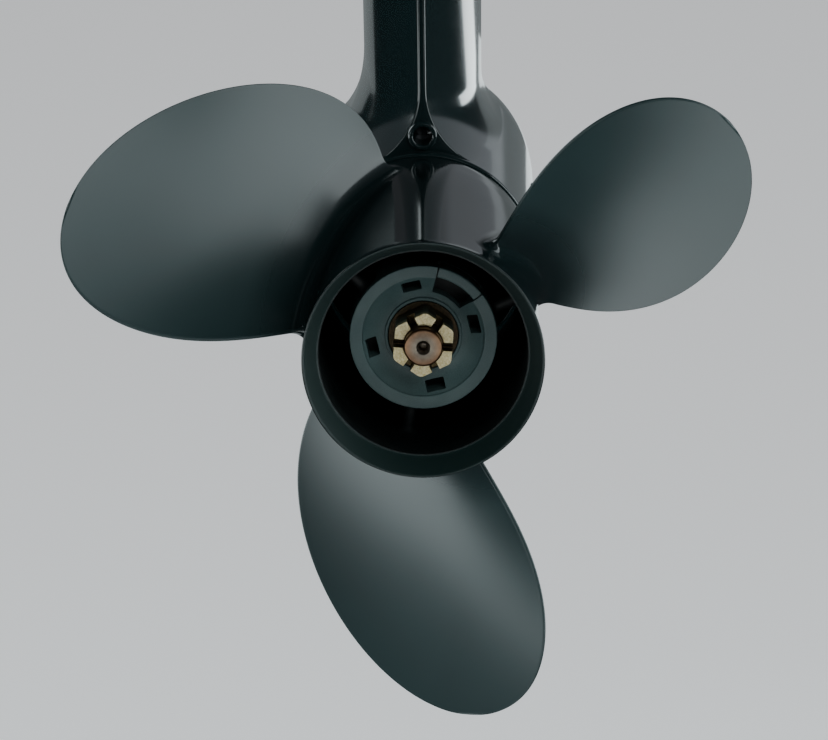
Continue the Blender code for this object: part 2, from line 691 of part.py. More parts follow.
def foil_section(rear, front, half_thickness, edge, height, thickest=LEG_THICKEST):
    """Level section of a streamlined leg: elliptic ahead of its thickest place, parabolic behind.

    rear and front are lengths along the shaft, edge is the half width of the blunt ends and
    height is above the shaft.
    """
    share = (1.0 - np.cos(np.linspace(0.0, pi, FOIL_POINTS))) / 2
    ahead = np.clip((thickest - share) / thickest, 0.0, 1.0)
    behind = np.clip((share - thickest) / (1.0 - thickest), 0.0, 1.0)
    shape = np.sqrt(1.0 - ahead ** 2) * (1.0 - behind ** 2)
    bow_edge = min(edge, BLUNT_NOSE)
    ends = np.where(share < thickest, bow_edge, edge)
    half = ends + (half_thickness - ends) * shape
    along = RIM_Y + front + (rear - front) * share
    level = np.full_like(half, height - SHAFT_DROP)
    starboard = np.c_[half, along, level]
    port = np.c_[-half, along, level][::-1]
    return np.r_[starboard, port]


def foot_arc():
    """Radius of the foot's hollow arc and the height where it meets the bullet.

    The arc leaves the leg's side upright at FOOT_TOP and runs tangent onto FOOT_CIRCLE.
    """
    side = LEG_HALF_THICKNESS
    radius = (FOOT_TOP ** 2 + side ** 2 - FOOT_CIRCLE ** 2) / (2 * (FOOT_CIRCLE - side))
    return radius, FOOT_TOP * FOOT_CIRCLE / (FOOT_CIRCLE + radius)


def leg_half_thickness(height):
    """Largest half thickness of the leg at a height, with the spread of its foot."""
    radius, _ = foot_arc()
    below = max(FOOT_TOP - height, 0.0)
    foot = radius - sqrt(radius ** 2 - below ** 2)
    return LEG_HALF_THICKNESS + foot + LEG_SPREAD * max(height - FOOT_TOP, 0.0)


def leg_mesh(name):
    """Lower leg from its foot on the bullet up to the plate over the propeller."""
    _, bottom = foot_arc()
    top = VENT_PLATE_BOTTOM - GAP
    heights = (bottom,) + FOOT_HEIGHTS + TAIL_HEIGHTS + UPRIGHT_HEIGHTS + (top,)
    sections = []
    for height in heights:
        rise = max(height - FOOT_TOP, 0.0)
        rear = LEG_REAR + LEG_REAR_SWEEP * rise
        front = LEG_FRONT + LEG_FRONT_SWEEP * rise
        tail = np.interp(height, TAIL_HEIGHTS, TAIL_HALF_WIDTHS)
        sections.append(foil_section(rear, front, leg_half_thickness(height), tail, height))
    return loft_mesh(name, sections)


def torpedo_solid():
    """Outline of the unbored bullet grown by the gap, for cutting what rests on it."""
    extra = GAP + 2 * CHORD_SAG
    rear = TORPEDO_REAR - RUNNING_CLEARANCE
    return torpedo_outline(extra) + [(TORPEDO_REAR_RADIUS + extra, rear), (0.0, rear)]


def add_leg():
    """Lower leg with the screened water inlets in its sides and the drilled boss at its tail."""
    leg = add_piece("leg_lower", leg_mesh("leg_lower"), "painted_aluminium", HOUSING)
    solid = add_cutter("torpedo_clearance", profile_mesh("torpedo_clearance", torpedo_solid()), FIXED_AXIS)
    turn_profile(solid)
    combine(leg, solid)
    add_inlet(leg, "water_inlet_starboard", 1)
    add_inlet(leg, "water_inlet_port", -1)
    add_boss(leg)


def add_inlet(leg, name, side):
    """Slotted water screen, flush in a pocket in the leg's side."""
    sideways, forward, height = INLET_PLACE
    middle = Vector((side * sideways, forward, height - SHAFT_DROP))
    size = Vector(INLET_SIZE)
    pocket = box_mesh(name + "_pocket", size)
    combine(leg, add_cutter(name + "_pocket", pocket, HOUSING, Matrix.Translation(middle)))
    screen = add_piece(name, leg_mesh(name), "stainless_steel", HOUSING)
    keep = box_mesh(name + "_keep", size - Vector((2 * GAP, 2 * GAP, 2 * GAP)))
    combine(screen, add_cutter(name + "_keep", keep, HOUSING, Matrix.Translation(middle)), "INTERSECT")
    for number in range(INLET_SLOTS):
        label = name + "_slot_" + str(number + 1)
        rise = (number - (INLET_SLOTS - 1) / 2) * INLET_SLOT_PITCH
        place = Matrix.Translation(middle + Vector((0, 0, rise)))
        combine(screen, add_cutter(label, box_mesh(label, INLET_SLOT), HOUSING, place))


def add_boss(leg):
    """Drilled boss at the foot of the leg's trailing edge, facing the propeller."""
    rear = LEG_REAR - BOSS_STANDS_OUT
    profile = (
        (BOSS_RADIUS, rear + BOSS_LENGTH),
        (BOSS_RADIUS, rear + BOSS_CHAMFER),
        (BOSS_RADIUS - BOSS_CHAMFER, rear),
        (BOSS_BORE + BOSS_CHAMFER / 2, rear),
        (BOSS_BORE, rear + BOSS_CHAMFER / 2),
        (BOSS_BORE, rear + BOSS_HOLE_DEPTH),
        (0.0, rear + BOSS_HOLE_DEPTH),
        (0.0, rear + BOSS_LENGTH),
    )
    place = Matrix.Translation((0, -BOSS_HEIGHT, 0))
    add_turned("tail_boss", profile, "painted_aluminium", FIXED_AXIS, SMALL_ROUND, place)
    seat = rod_mesh("tail_boss_seat", BOSS_RADIUS + GAP, CUT_LENGTH)
    place = Matrix.Translation((0, -BOSS_HEIGHT, rear + BOSS_LENGTH + GAP - CUT_LENGTH / 2))
    combine(leg, add_cutter("tail_boss_seat", seat, FIXED_AXIS, place))


def add_skeg():
    """Fin under the bullet, swept back, thinner towards its tip and round at both corners."""
    corner_top = SKEG_DEPTH - SKEG_CORNER
    bend = np.sin(np.linspace(0.0, pi / 2, 5))
    depths = np.r_[np.linspace(SKEG_TOP, corner_top, 5)[:-1], corner_top + SKEG_CORNER * bend]
    sections = []
    for depth in depths:
        share = (depth - SKEG_TOP) / (SKEG_DEPTH - SKEG_TOP)
        past = max(depth - corner_top, 0.0)
        drawn_in = SKEG_CORNER - sqrt(max(SKEG_CORNER ** 2 - past ** 2, 0.0))
        rear = SKEG_REAR[0] + SKEG_REAR[1] * share + drawn_in
        front = SKEG_FRONT[0] + SKEG_FRONT[1] * share ** SKEG_SWEEP_POWER - drawn_in
        half = SKEG_HALF_THICKNESS[0] + SKEG_HALF_THICKNESS[1] * share
        sections.append(foil_section(rear, front, half, SKEG_EDGE, -depth, SKEG_THICKEST))
    skeg = add_piece("skeg", loft_mesh("skeg", sections), "painted_aluminium", HOUSING)
    combine(skeg, bpy.data.objects["torpedo_clearance"])


def plan_section(outline, level, inset=0.0):
    """Level section of a flat casting from (forward, half width) points, drawn in by an inset."""
    outline = np.asarray(outline, dtype=float)
    half = np.maximum(outline[:, 1] - inset, GAP)
    middle = outline[:, 0].mean()
    along = outline[:, 0] - np.sign(outline[:, 0] - middle) * inset
    height = np.full_like(half, level)
    return np.r_[np.c_[half, along, height], np.c_[-half, along, height][::-1]]


def slab_mesh(name, outline, bottom, top, chamfer):
    """Flat casting with chamfered edges between two levels."""
    levels = ((bottom, chamfer), (bottom + chamfer, 0.0), (top - chamfer, 0.0), (top, chamfer))
    return loft_mesh(name, [plan_section(outline, level, inset) for level, inset in levels])


def bottle_outline(front, shoulder, waist, tail, front_half, rear_half):
    """Plan outline from bow to stern: a round nose, a smooth change of width and a round tail.

    shoulder and waist are where the nose ends and the tail starts, and the half width passes
    from one value to the other between them along a half cosine wave.
    """
    share = (1.0 - np.cos(np.linspace(0.0, pi, PLAN_POINTS))) / 2
    forward = front + (tail - front) * share
    nose = np.clip((forward - shoulder) / (front - shoulder), 0.0, 1.0)
    end = np.clip((waist - forward) / (waist - tail), 0.0, 1.0)
    change = np.clip((shoulder - forward) / (shoulder - waist), 0.0, 1.0)
    half = front_half + (rear_half - front_half) * (1.0 - np.cos(pi * change)) / 2
    rounded = np.sqrt(1.0 - nose ** 2) * np.sqrt(1.0 - end ** 2)
    return np.c_[forward, half * rounded]


def add_vent_plate():
    """Anti-ventilation plate over the propeller, with the zinc trim tab bolted under its tail."""
    outline = bottle_outline(*VENT_PLATE_OUTLINE)
    bottom = VENT_PLATE_BOTTOM - SHAFT_DROP
    top = bottom + VENT_PLATE_THICKNESS
    mesh = slab_mesh("anti_ventilation_plate", outline, bottom, top, VENT_PLATE_CHAMFER)
    add_piece("anti_ventilation_plate", mesh, "painted_aluminium", HOUSING)
    sections = []
    for drop, shrink in ((0.0, 0.0), (TAB_DEPTH - TAB_ROUNDING, 0.0), (TAB_DEPTH, TAB_ROUNDING)):
        half = TAB_HALF_THICKNESS - TAB_TAPER * shrink
        height = VENT_PLATE_BOTTOM - GAP - drop
        sections.append(foil_section(shrink, TAB_LENGTH - shrink, half, TAB_EDGE, height))
    add_piece("trim_tab", loft_mesh("trim_tab", sections), "zinc", HOUSING)
    bolt = rod_mesh("trim_tab_bolt", TAB_BOLT_RADIUS, TAB_BOLT_HEIGHT, 6)
    place = Matrix.Translation((0, RIM_Y + TAB_BOLT_FORWARD, top + GAP + TAB_BOLT_HEIGHT / 2))
    add_piece("trim_tab_bolt", bolt, "stainless_steel", HOUSING, place)


def add_top():
    """Upper leg and mounting flange, open for the exhaust, driveshaft, shift rod and water tube."""
    bottom = VENT_PLATE_BOTTOM + VENT_PLATE_THICKNESS + GAP
    top = SHAFT_DROP - FLANGE_THICKNESS - GAP
    sections = []
    for height in np.linspace(bottom, top, 4):
        share = (height - bottom) / (top - bottom)
        laws = (UPPER_REAR, UPPER_FRONT, UPPER_HALF_THICKNESS, UPPER_EDGE)
        rear, front, half, edge = (low + change * share for low, change in laws)
        sections.append(foil_section(rear, front, half, edge, height))
    upper = add_piece("leg_upper", loft_mesh("leg_upper", sections), "painted_aluminium", HOUSING)
    outline = bottle_outline(*FLANGE_OUTLINE)
    mesh = slab_mesh("mounting_flange", outline, -FLANGE_THICKNESS, 0.0, FLANGE_CHAMFER)
    flange = add_piece("mounting_flange", mesh, "painted_aluminium", HOUSING)
    deep = BORE_TOP - BORE_FLOOR
    level = (BORE_TOP + BORE_FLOOR) / 2
    duct = box_mesh("exhaust_duct", (*DUCT_SIZE, deep))
    cutters = [add_cutter("exhaust_duct", duct, HOUSING, Matrix.Translation((*DUCT_PLACE, level)))]
    bores = (
        ("driveshaft_bore", DRIVESHAFT_BORE, DRIVESHAFT_Y),
        ("shift_rod_bore", SHIFT_ROD_BORE, SHIFT_ROD_Y),
        ("water_tube_bore", WATER_TUBE_BORE, WATER_TUBE_Y),
    )
    for name, radius, forward in bores:
        place = Matrix.Translation((0.0, forward, level))
        cutters.append(add_cutter(name, rod_mesh(name, radius, deep), HOUSING, place))
    for cutter in cutters[:3]:
        combine(upper, cutter)
    for cutter in cutters:
        combine(flange, cutter)
    for number, (side, forward) in enumerate(BOLT_PLACES):
        name = "flange_hole_" + str(number + 1)
        hole = rod_mesh(name, BOLT_HOLE_RADIUS, CUT_LENGTH, TINY_ROUND)
        combine(flange, add_cutter(name, hole, HOUSING, Matrix.Translation((side, forward, 0))))
    seal = ring_profile(DRIVESHAFT_BORE - GAP, DRIVESHAFT_SEAL_BORE, *DRIVESHAFT_SEAL_LEVELS)
    place = Matrix.Translation((0, DRIVESHAFT_Y, 0))
    add_turned("driveshaft_seal", seal, "rubber", HOUSING, SMALL_ROUND, place)


add_barrel()
add_blades()
add_inner_ring()
add_webs()
add_end_plate()
add_bush_and_sleeve()
add_shaft()
add_nut_and_pin()
add_torpedo()
add_carrier()
add_leg()
add_skeg()
add_vent_plate()
add_top()
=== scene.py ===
"""Looks of the outboard gearcase with its three-bladed propeller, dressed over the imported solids.

World frame: +X is starboard, +Y forward along the propeller shaft and +Z up. Lengths along the
shaft are counted forward from the hub's rear edge, and heights up from the shaft's axis. Angles
about the shaft run anticlockwise from starboard, seen from astern.
"""

import json

import bmesh
import bpy
import numpy as np
from mathutils import Matrix, Vector

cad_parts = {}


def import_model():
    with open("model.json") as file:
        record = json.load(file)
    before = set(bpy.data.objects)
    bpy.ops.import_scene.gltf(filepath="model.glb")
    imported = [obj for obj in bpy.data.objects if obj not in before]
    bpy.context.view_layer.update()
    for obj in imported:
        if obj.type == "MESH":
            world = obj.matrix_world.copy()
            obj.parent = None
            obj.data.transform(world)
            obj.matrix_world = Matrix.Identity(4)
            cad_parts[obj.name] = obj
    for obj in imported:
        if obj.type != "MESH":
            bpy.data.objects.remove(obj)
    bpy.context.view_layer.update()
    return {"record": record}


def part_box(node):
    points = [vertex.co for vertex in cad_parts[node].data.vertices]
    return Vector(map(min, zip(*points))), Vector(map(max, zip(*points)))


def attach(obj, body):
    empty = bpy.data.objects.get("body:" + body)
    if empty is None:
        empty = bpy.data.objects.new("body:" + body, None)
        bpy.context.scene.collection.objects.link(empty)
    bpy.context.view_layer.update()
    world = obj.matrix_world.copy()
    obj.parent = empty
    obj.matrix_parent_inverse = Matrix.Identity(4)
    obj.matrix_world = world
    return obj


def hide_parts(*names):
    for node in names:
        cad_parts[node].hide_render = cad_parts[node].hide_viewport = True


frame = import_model()

# Places that come from the frame, in metres
SPIN = frame["record"]["behaviour"]["joints"][0]
RIM_Y = SPIN["pos_m"][1]
SHAFT_Z = SPIN["pos_m"][2]
HUB_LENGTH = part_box("hub_barrel")[1][1] - RIM_Y
TORPEDO_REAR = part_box("exhaust_housing")[0][1] - RIM_Y
NOSE_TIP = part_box("gearcase_torpedo")[1][1] - RIM_Y
PLATE_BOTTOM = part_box("anti_ventilation_plate")[0][2] - SHAFT_Z
PLATE_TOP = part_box("anti_ventilation_plate")[1][2] - SHAFT_Z
FLANGE_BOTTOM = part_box("mounting_flange")[0][2] - SHAFT_Z
FLANGE_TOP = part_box("mounting_flange")[1][2] - SHAFT_Z
SKEG_DEPTH = SHAFT_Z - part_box("skeg")[0][2]

# Gap between neighbouring solids, in metres, as every length from here on
GAP = 0.0003

# Blades: rake goes by the length of the span, skew and half chord in radians by its share
PROPELLER_RADIUS = 0.1778
BLADE_ROOT_RADIUS = 0.0540
BLADE_NAMES = ("starboard", "port", "lower")
FIRST_BLADE_ANGLE = 20.1
BLADE_STEP = 120.0
PITCH = 0.665
ROOT_FORWARD = 0.0930
RAKE = (-0.127, -1.86)
SKEW = (0.090, 0.408, -0.212)
HALF_CHORD = (0.565, 0.319, -0.765, 0.353)
ROOT_THICKNESS = 0.0125
TIP_THICKNESS = 0.0040
EDGE_THICKNESS = 0.0020
ROOT_FILLET = 0.0090

# Hub barrel with its flares, and the ring and webs inside it
RIM_RADIUS = 0.0564
BARREL_RADIUS = 0.0537
BARREL_FRONT_RADIUS = 0.0528
BARREL_BORE = 0.0484
OUTER_FLARE = 0.0170
INNER_FLARE = 0.0137
STEP_RADIUS = 0.0491
STEP_FORWARD = 0.0129
TAPER_START = 0.1500
RING_RADIUS = 0.0343
RING_BORE = 0.0282
RING_REAR = 0.0410
RING_FRONT = 0.1600
WEB_THICKNESS = 0.0060
WEB_FILLET = 0.0035
WEB_REAR = 0.0480
WEB_FRONT = 0.1580

# End plate with its windows, and the key block
END_PLATE_REAR = 0.0430
END_PLATE_FRONT = 0.0560
END_PLATE_BORE = 0.0165
END_PLATE_LIP = 0.0016
END_PLATE_DISH = 0.0048
WINDOW_CIRCLE = 0.0242
WINDOW_SIZE = (0.0052, 0.0090)
FIRST_WINDOW_ANGLE = 12.6
KEY_ANGLES = (36.0, 78.0)
KEY_DEPTH = 0.0120
KEY_INNER_RADIUS = 0.0294
KEY_POCKET_RADIUS = 0.0208

# Nut, its split pin and its washer
NUT_ACROSS_FLATS = 0.0270
NUT_REAR = 0.0270
NUT_FRONT = 0.0450
NUT_SLOT_ANGLE = -5.0
NUT_SLOT_WIDTH = 0.0040
NUT_SLOT_DEPTH = 0.0095
PIN_LENGTH = 0.0276
PIN_STRAIGHT_HALF = 0.0120
PIN_FORWARD = 0.0305
PIN_LEG_HALF_WIDTH = 0.00072
PIN_LEG_HALF_HEIGHT = 0.00130
PIN_LEG_OFFSET = 0.00075
NUT_WASHER_FRONT = 0.0482

# Propeller shaft, and the bush, sleeve and thrust washer on it
SHAFT_END = 0.0220
DRILLING_MOUTH = 0.0033
DRILLING_RADIUS = 0.0019
DRILLING_DEPTH = 0.0060
THREAD_RADIUS = 0.0090
THREAD_FRONT = 0.0530
SPLINE_RADIUS = 0.0125
SPLINE_REAR = 0.0560
SPLINE_FRONT = 0.1545
JOURNAL_RADIUS = 0.0150
JOURNAL_REAR = 0.1560
BUSH_FRONT = 0.1500
SLEEVE_RADIUS = 0.0180
SLEEVE_REAR = 0.0485
SLEEVE_FRONT = 0.1540
THRUST_WASHER_RADII = (0.0255, 0.0200)
THRUST_WASHER_LENGTHS = (0.1563, 0.1600, 0.1700)

# Bullet with its exhaust bore, the bearing carrier and seal in it, and the plugs at its side
TORPEDO_REAR_RADIUS = 0.0534
TORPEDO_RADIUS = 0.0530
NOSE_START = 0.3350
EXHAUST_BORE = 0.0470
EXHAUST_DEPTH = 0.0550
CARRIER_RADIUS = 0.0300
CARRIER_REAR = 0.1860
CARRIER_FLANGE = 0.0060
CARRIER_RIB_LENGTH = 0.0400
SHAFT_SEAL_RADIUS = 0.0220
SHAFT_SEAL_REAR = 0.1825
PLUG_NODES = ("drain_plug", "vent_plug")
PLUG_PLACES = ((0.370, -0.0120), (0.300, 0.0))
PLUG_RADIUS = 0.0085
PLUG_DEPTH = 0.0057
PLUG_SLOT = (0.0040, 0.0018, 0.0400)

# Lower leg: sweeps and spread by height, and the foot's balls by the share of the way forward
LEG_HALF_THICKNESS = 0.0284
LEG_TAIL_HALF = 0.00195
LEG_TAIL_CORNER = 0.0014
LEG_REAR = 0.1835
LEG_FRONT = 0.3950
LEG_THICKEST = 0.40
LEG_REAR_SWEEP = 0.05
LEG_FRONT_SWEEP = -0.02
LEG_SPREAD = 0.01
FOOT_TOP = 0.0660
FOOT_BALL_SHARES = (0.0, 0.35, 0.60, 0.80, 1.0)
STARBOARD_FOOT_BALLS = (0.0400, 0.0400, 0.0420, 0.0400, 0.0240)
PORT_FOOT_BALLS = (0.0400, 0.0400, 0.0800, 0.0700, 0.0240)
PLATE_FILLET = 0.0060

# Boss at the foot of the leg's tail
BOSS_HEIGHT = 0.0615
BOSS_RADIUS = 0.0070
BOSS_BORE = 0.0045
BOSS_LENGTH = 0.0155
BOSS_DEPTH = 0.0120

# Water inlets: starboard, forward and up; then deep, long and tall
INLET_PLACE = (0.0340, 0.3450, 0.1050)
INLET_SIZE = (0.0300, 0.0400, 0.0500)
INLET_THICKNESS = 0.0020
INLET_SLOTS = 5
INLET_SLOT_PITCH = 0.0085
INLET_SLOT_LENGTH = 0.0300
INLET_SLOT_RADIUS = 0.00175

# Skeg: each pair is the value at its top and the change down to its tip
SKEG_TOP = 0.0300
SKEG_REAR = (0.1980, 0.0120)
SKEG_FRONT = (0.3720, -0.0920)
SKEG_HALF_THICKNESS = (0.0085, -0.0050)
SKEG_SWEEP_POWER = 1.3
SKEG_THICKEST = 0.35
SKEG_EDGE = 0.0010
SKEG_CORNER = 0.0160
SKEG_TIP = 0.0030
SKEG_FILLET = 0.0100

# Trim tab and its bolt
TAB_LENGTH = 0.0760
TAB_DEPTH = 0.0160
TAB_ROUND = 0.0040
TAB_HALF_THICKNESS = 0.0075
TAB_EDGE = 0.0014
BOLT_FORWARD = 0.0460
BOLT_HEIGHT = 0.0063
BOLT_CORNER = 0.0080

# Upper leg against the lower one: each pair is the value at the plate and the change to the flange
UPPER_LEG_REAR = (0.0115, -0.0300)
UPPER_LEG_FRONT = (-0.0030, 0.0020)
UPPER_LEG_SPREAD = (0.0020, 0.0096)
UPPER_LEG_TAIL_HALF = (0.0025, 0.0020)
UPPER_LEG_TAIL_CORNER = 0.0015

# Plans of the plate and the flange: front, shoulder, waist and tail, then front and rear half width
PLATE_PLAN = (0.1100, 0.0400, -0.2800, -0.3300, 0.0500, 0.0850)
FLANGE_PLAN = (0.1030, 0.0450, -0.1150, -0.1500, 0.0570, 0.0360)
PLATE_EDGE = 0.0028
FLANGE_EDGE = 0.0014

# Driveshaft and the seal round it, in the frame's own lengths, as what follows here
DRIVESHAFT_Y = 0.0300
DRIVESHAFT_BORE = 0.0160
DRIVESHAFT_SEAL_BORE = 0.0100
DRIVESHAFT_SEAL_TOP = -0.0060
DRIVESHAFT_SEAL_BOTTOM = -0.0130

# Bores of the flange, each with its side, forward place and radius, and the exhaust duct
FLANGE_BORES = (
    (0.0, DRIVESHAFT_Y, DRIVESHAFT_BORE),
    (0.0, 0.0640, 0.0050),
    (0.0, -0.0850, 0.0060),
    (0.0480, 0.0100, 0.0045),
    (-0.0480, 0.0100, 0.0045),
    (0.0300, -0.1000, 0.0045),
    (-0.0300, -0.1000, 0.0045),
)
DUCT_HALF_WIDTH = 0.014
DUCT_REAR = -0.058
DUCT_FRONT = -0.012
DUCT_CORNER = 0.005
WELL_BOTTOM = -0.0750
WELL_TOP = 0.0650

TAU = 2.0 * np.pi


# Colours and materials


def linear(hex_code):
    """Linear colour of an sRGB hex code."""
    values = [int(hex_code[i:i + 2], 16) / 255.0 for i in (1, 3, 5)]
    return tuple(v / 12.92 if v <= 0.04045 else ((v + 0.055) / 1.055) ** 2.4 for v in values) + (1.0,)


# Sockets of a Mix node that mixes colours: its share, its two colours and its result
SHARE, FIRST, SECOND, MIXED = 0, 6, 7, 2

# Most of a noise lies between these two values
NOISE = (0.3, 0.7)


def connect(node, inputs):
    """Fill a node's inputs, a list in the sockets' order or a dict.

    Each is another node's output, an sRGB hex code or a value.
    """
    for key, value in inputs.items() if isinstance(inputs, dict) else enumerate(inputs):
        if isinstance(value, bpy.types.NodeSocket):
            node.id_data.links.new(value, node.inputs[key])
        else:
            node.inputs[key].default_value = linear(value) if isinstance(value, str) else value


def add_node(tree, kind, inputs=(), output=0, **settings):
    """A node with its settings and links; returns one of its outputs."""
    node = tree.nodes.new("ShaderNode" + kind)
    for key, value in settings.items():
        setattr(node, key, value)
    connect(node, inputs)
    return node.outputs[output]


def new_material(name):
    """Principled material, its tree and its shader."""
    material = bpy.data.materials.new(name)
    material.use_nodes = True
    return material, material.node_tree, material.node_tree.nodes["Principled BSDF"]


def place_on(tree, centre=(0.0, 0.0, 0.0), stretch=(1.0, 1.0, 1.0)):
    """Object coordinates, moved by a centre and stretched, for the patterns."""
    place = add_node(tree, "TexCoord", output="Object")
    return add_node(tree, "Mapping", {"Vector": place, "Location": centre, "Scale": stretch})


def grain(tree, size, detail=2.0, stretch=(1.0, 1.0, 1.0)):
    """Pattern of soft patches about size metres across."""
    place = place_on(tree, stretch=stretch)
    return add_node(tree, "TexNoise", {"Vector": place, "Scale": 1.0 / size, "Detail": detail}, "Fac")


def shaft_radius(tree):
    """Distance of a point from the shaft's axis."""
    place = place_on(tree, (0.0, 0.0, -SHAFT_Z), (1.0, 0.0, 1.0))
    return add_node(tree, "VectorMath", [place], "Value", operation="LENGTH")


def shaft_forward(tree):
    """Length of a point along the shaft from the hub's rear edge."""
    return add_node(tree, "SeparateXYZ", [place_on(tree, (0.0, -RIM_Y, 0.0))], "Y")


def make_gearcase_enamel():
    """Oven-baked enamel sprayed on cast aluminium.

    A deep black with a green cast and a wet gloss, that mirrors the studio in soft bands. A
    faint orange peel, drawn 4 mm wide, keeps long highlights from looking drawn.
    """
    material, tree, shader = new_material("gearcase_baked_enamel")
    roughness = add_node(tree, "MapRange", (grain(tree, 0.030), *NOISE, 0.10, 0.14))
    peel = add_node(tree, "Bump", {"Height": grain(tree, 0.0040), "Distance": 0.000003})
    connect(shader, {"Base Color": "#0e1c1d", "Roughness": roughness, "Normal": peel})
    connect(shader, {"Coat Weight": 0.5, "Coat Roughness": 0.05})
    return material


def make_hub_enamel():
    """The same enamel on the hub barrel, a hard gloss outside and baked dull inside its flare.

    The outside mirrors the leg and the blade roots with crisp edges. The band inside the rear
    flare lies where radius + forward / 3 stays under 55.8 mm, and reads as an even dark teal.
    """
    material, tree, shader = new_material("hub_baked_enamel")
    lean = add_node(tree, "Math", (shaft_forward(tree), 1.0 / 3.0), operation="MULTIPLY")
    place = add_node(tree, "Math", (shaft_radius(tree), lean), operation="ADD")
    outside = add_node(tree, "MapRange", (place, 0.0557, 0.0559, 0.0, 1.0))
    mix = {SHARE: outside, FIRST: "#102120", SECOND: "#0a1415"}
    colour = add_node(tree, "Mix", mix, MIXED, data_type="RGBA")
    roughness = add_node(tree, "MapRange", (outside, 0.0, 1.0, 0.50, 0.09))
    peel = add_node(tree, "Bump", {"Height": grain(tree, 0.0040), "Distance": 0.000002})
    connect(shader, {"Base Color": colour, "Roughness": roughness, "Normal": peel, "IOR": 1.6})
    return material


def make_blade_enamel():
    """The same enamel on the blades, glossy at their roots and rubbed to a satin further out.

    Past a radius of about 85 mm it scatters light, and its colour lightens from near black to a
    grey-green that is a painted reflection of soft light, so that the blades read as smooth
    grey-green sheets with slow gradients.
    """
    material, tree, shader = new_material("blade_rubbed_enamel")
    outward = add_node(tree, "MapRange", (shaft_radius(tree), 0.056, 0.085, 0.0, 1.0))
    # Painted reflection: the blades' grey-green, lighter than the near black at the roots, stands in for
    # soft light mirrored in the black paint.
    mix = {SHARE: grain(tree, 0.045), FIRST: "#192829", SECOND: "#1f3031"}
    blade = add_node(tree, "Mix", mix, MIXED, data_type="RGBA")
    mix = {SHARE: outward, FIRST: "#0c1718", SECOND: blade}
    colour = add_node(tree, "Mix", mix, MIXED, data_type="RGBA")
    roughness = add_node(tree, "MapRange", (outward, 0.0, 1.0, 0.15, 0.33))
    peel = add_node(tree, "Bump", {"Height": grain(tree, 0.0040), "Distance": 0.000004})
    connect(shader, {"Base Color": colour, "Roughness": roughness, "Normal": peel})
    return material


def make_exhaust_enamel():
    """Enamel inside the hub, dulled by exhaust soot and darkened nearly black as painted shade of the
    deep passage.
    """
    material, tree, shader = new_material("sooted_enamel")
    roughness = add_node(tree, "MapRange", (grain(tree, 0.006, 4.0), *NOISE, 0.45, 0.70))
    soot = add_node(tree, "Bump", {"Height": grain(tree, 0.0012, 3.0), "Distance": 0.00003})
    connect(shader, {"Base Color": "#050a0a", "Roughness": roughness, "Normal": soot})
    return material


def make_composite():
    """Glass-filled nylon, injection moulded and dyed slate.

    A dry, even grey-blue with a fine sparkle of fibres, drawn 0.5 mm wide so that it shows, and
    a touch lighter where it was handled.
    """
    material, tree, shader = new_material("moulded_glass_filled_nylon")
    fibres = add_node(tree, "MapRange", (grain(tree, 0.0005), *NOISE, 0.0, 1.0))
    mix = {SHARE: fibres, FIRST: "#2c3f40", SECOND: "#3b4e4e"}
    speck = add_node(tree, "Mix", mix, MIXED, data_type="RGBA")
    handled = add_node(tree, "MapRange", (grain(tree, 0.012), *NOISE, 0.0, 0.35))
    mix = {SHARE: handled, FIRST: speck, SECOND: "#475856"}
    colour = add_node(tree, "Mix", mix, MIXED, data_type="RGBA")
    roughness = add_node(tree, "MapRange", (grain(tree, 0.004), *NOISE, 0.42, 0.58))
    skin = add_node(tree, "Bump", {"Height": grain(tree, 0.0006, 3.0), "Distance": 0.00001})
    connect(shader, {"Base Color": colour, "Roughness": roughness, "Normal": skin})
    return material


def make_brass():
    """Naval brass, milled from hexagon bar, with painted shade where it lies deep in the hub.

    A pale straw metal with a dry, pitted cut that spreads the light over each face, its pits
    drawn 0.9 mm wide so that they show, and an olive brown painted shade that begins 1 mm ahead
    of the nut's rear face and darkens the slots and all that lies deeper.
    """
    material, tree, shader = new_material("milled_brass")
    pits = add_node(tree, "MapRange", (grain(tree, 0.0009, 4.0), *NOISE, 0.0, 1.0))
    mix = {SHARE: pits, FIRST: "#c9b883", SECOND: "#e8deb8"}
    milled = add_node(tree, "Mix", mix, MIXED, data_type="RGBA")
    # Painted shade: olive brown from 1 mm ahead of the nut's rear face, for the slots and what lies
    # deeper.
    painted_shade_lengths = (NUT_REAR + 0.0010, NUT_REAR + 0.0060)
    deep = add_node(tree, "MapRange", (shaft_forward(tree), *painted_shade_lengths, 0.0, 0.92))
    mix = {SHARE: deep, FIRST: milled, SECOND: "#4a3c24"}
    colour = add_node(tree, "Mix", mix, MIXED, data_type="RGBA")
    roughness = add_node(tree, "MapRange", (grain(tree, 0.0025), *NOISE, 0.36, 0.52))
    cut = add_node(tree, "Bump", {"Height": pits, "Distance": 0.00003})
    connect(shader, {"Base Color": colour, "Metallic": 1.0, "Roughness": roughness, "Normal": cut})
    return material


def make_shaft_steel():
    """Stainless steel, faced in a lathe and tinted by heat and salt water.

    Fine rings about the centre drilling, drawn 0.7 mm apart so that they show, grey in the
    middle and copper brown towards the thread.
    """
    material, tree, shader = new_material("turned_shaft_steel")
    radius = shaft_radius(tree)
    tint = add_node(tree, "MapRange", (radius, 0.0045, 0.0085, 0.0, 1.0))
    mix = {SHARE: tint, FIRST: "#8f897c", SECOND: "#9a7556"}
    faced = add_node(tree, "Mix", mix, MIXED, data_type="RGBA")
    stain = add_node(tree, "MapRange", (grain(tree, 0.003, 3.0), *NOISE, 0.0, 0.5))
    mix = {SHARE: stain, FIRST: faced, SECOND: "#6a5343"}
    colour = add_node(tree, "Mix", mix, MIXED, data_type="RGBA")
    pitch = 0.0007
    turns = add_node(tree, "Math", (radius, TAU / pitch), operation="MULTIPLY")
    rings = add_node(tree, "Math", [turns], operation="SINE")
    cut = add_node(tree, "Bump", {"Height": rings, "Distance": 0.000012})
    connect(shader, {"Base Color": colour, "Metallic": 1.0, "Roughness": 0.32, "Normal": cut})
    return material


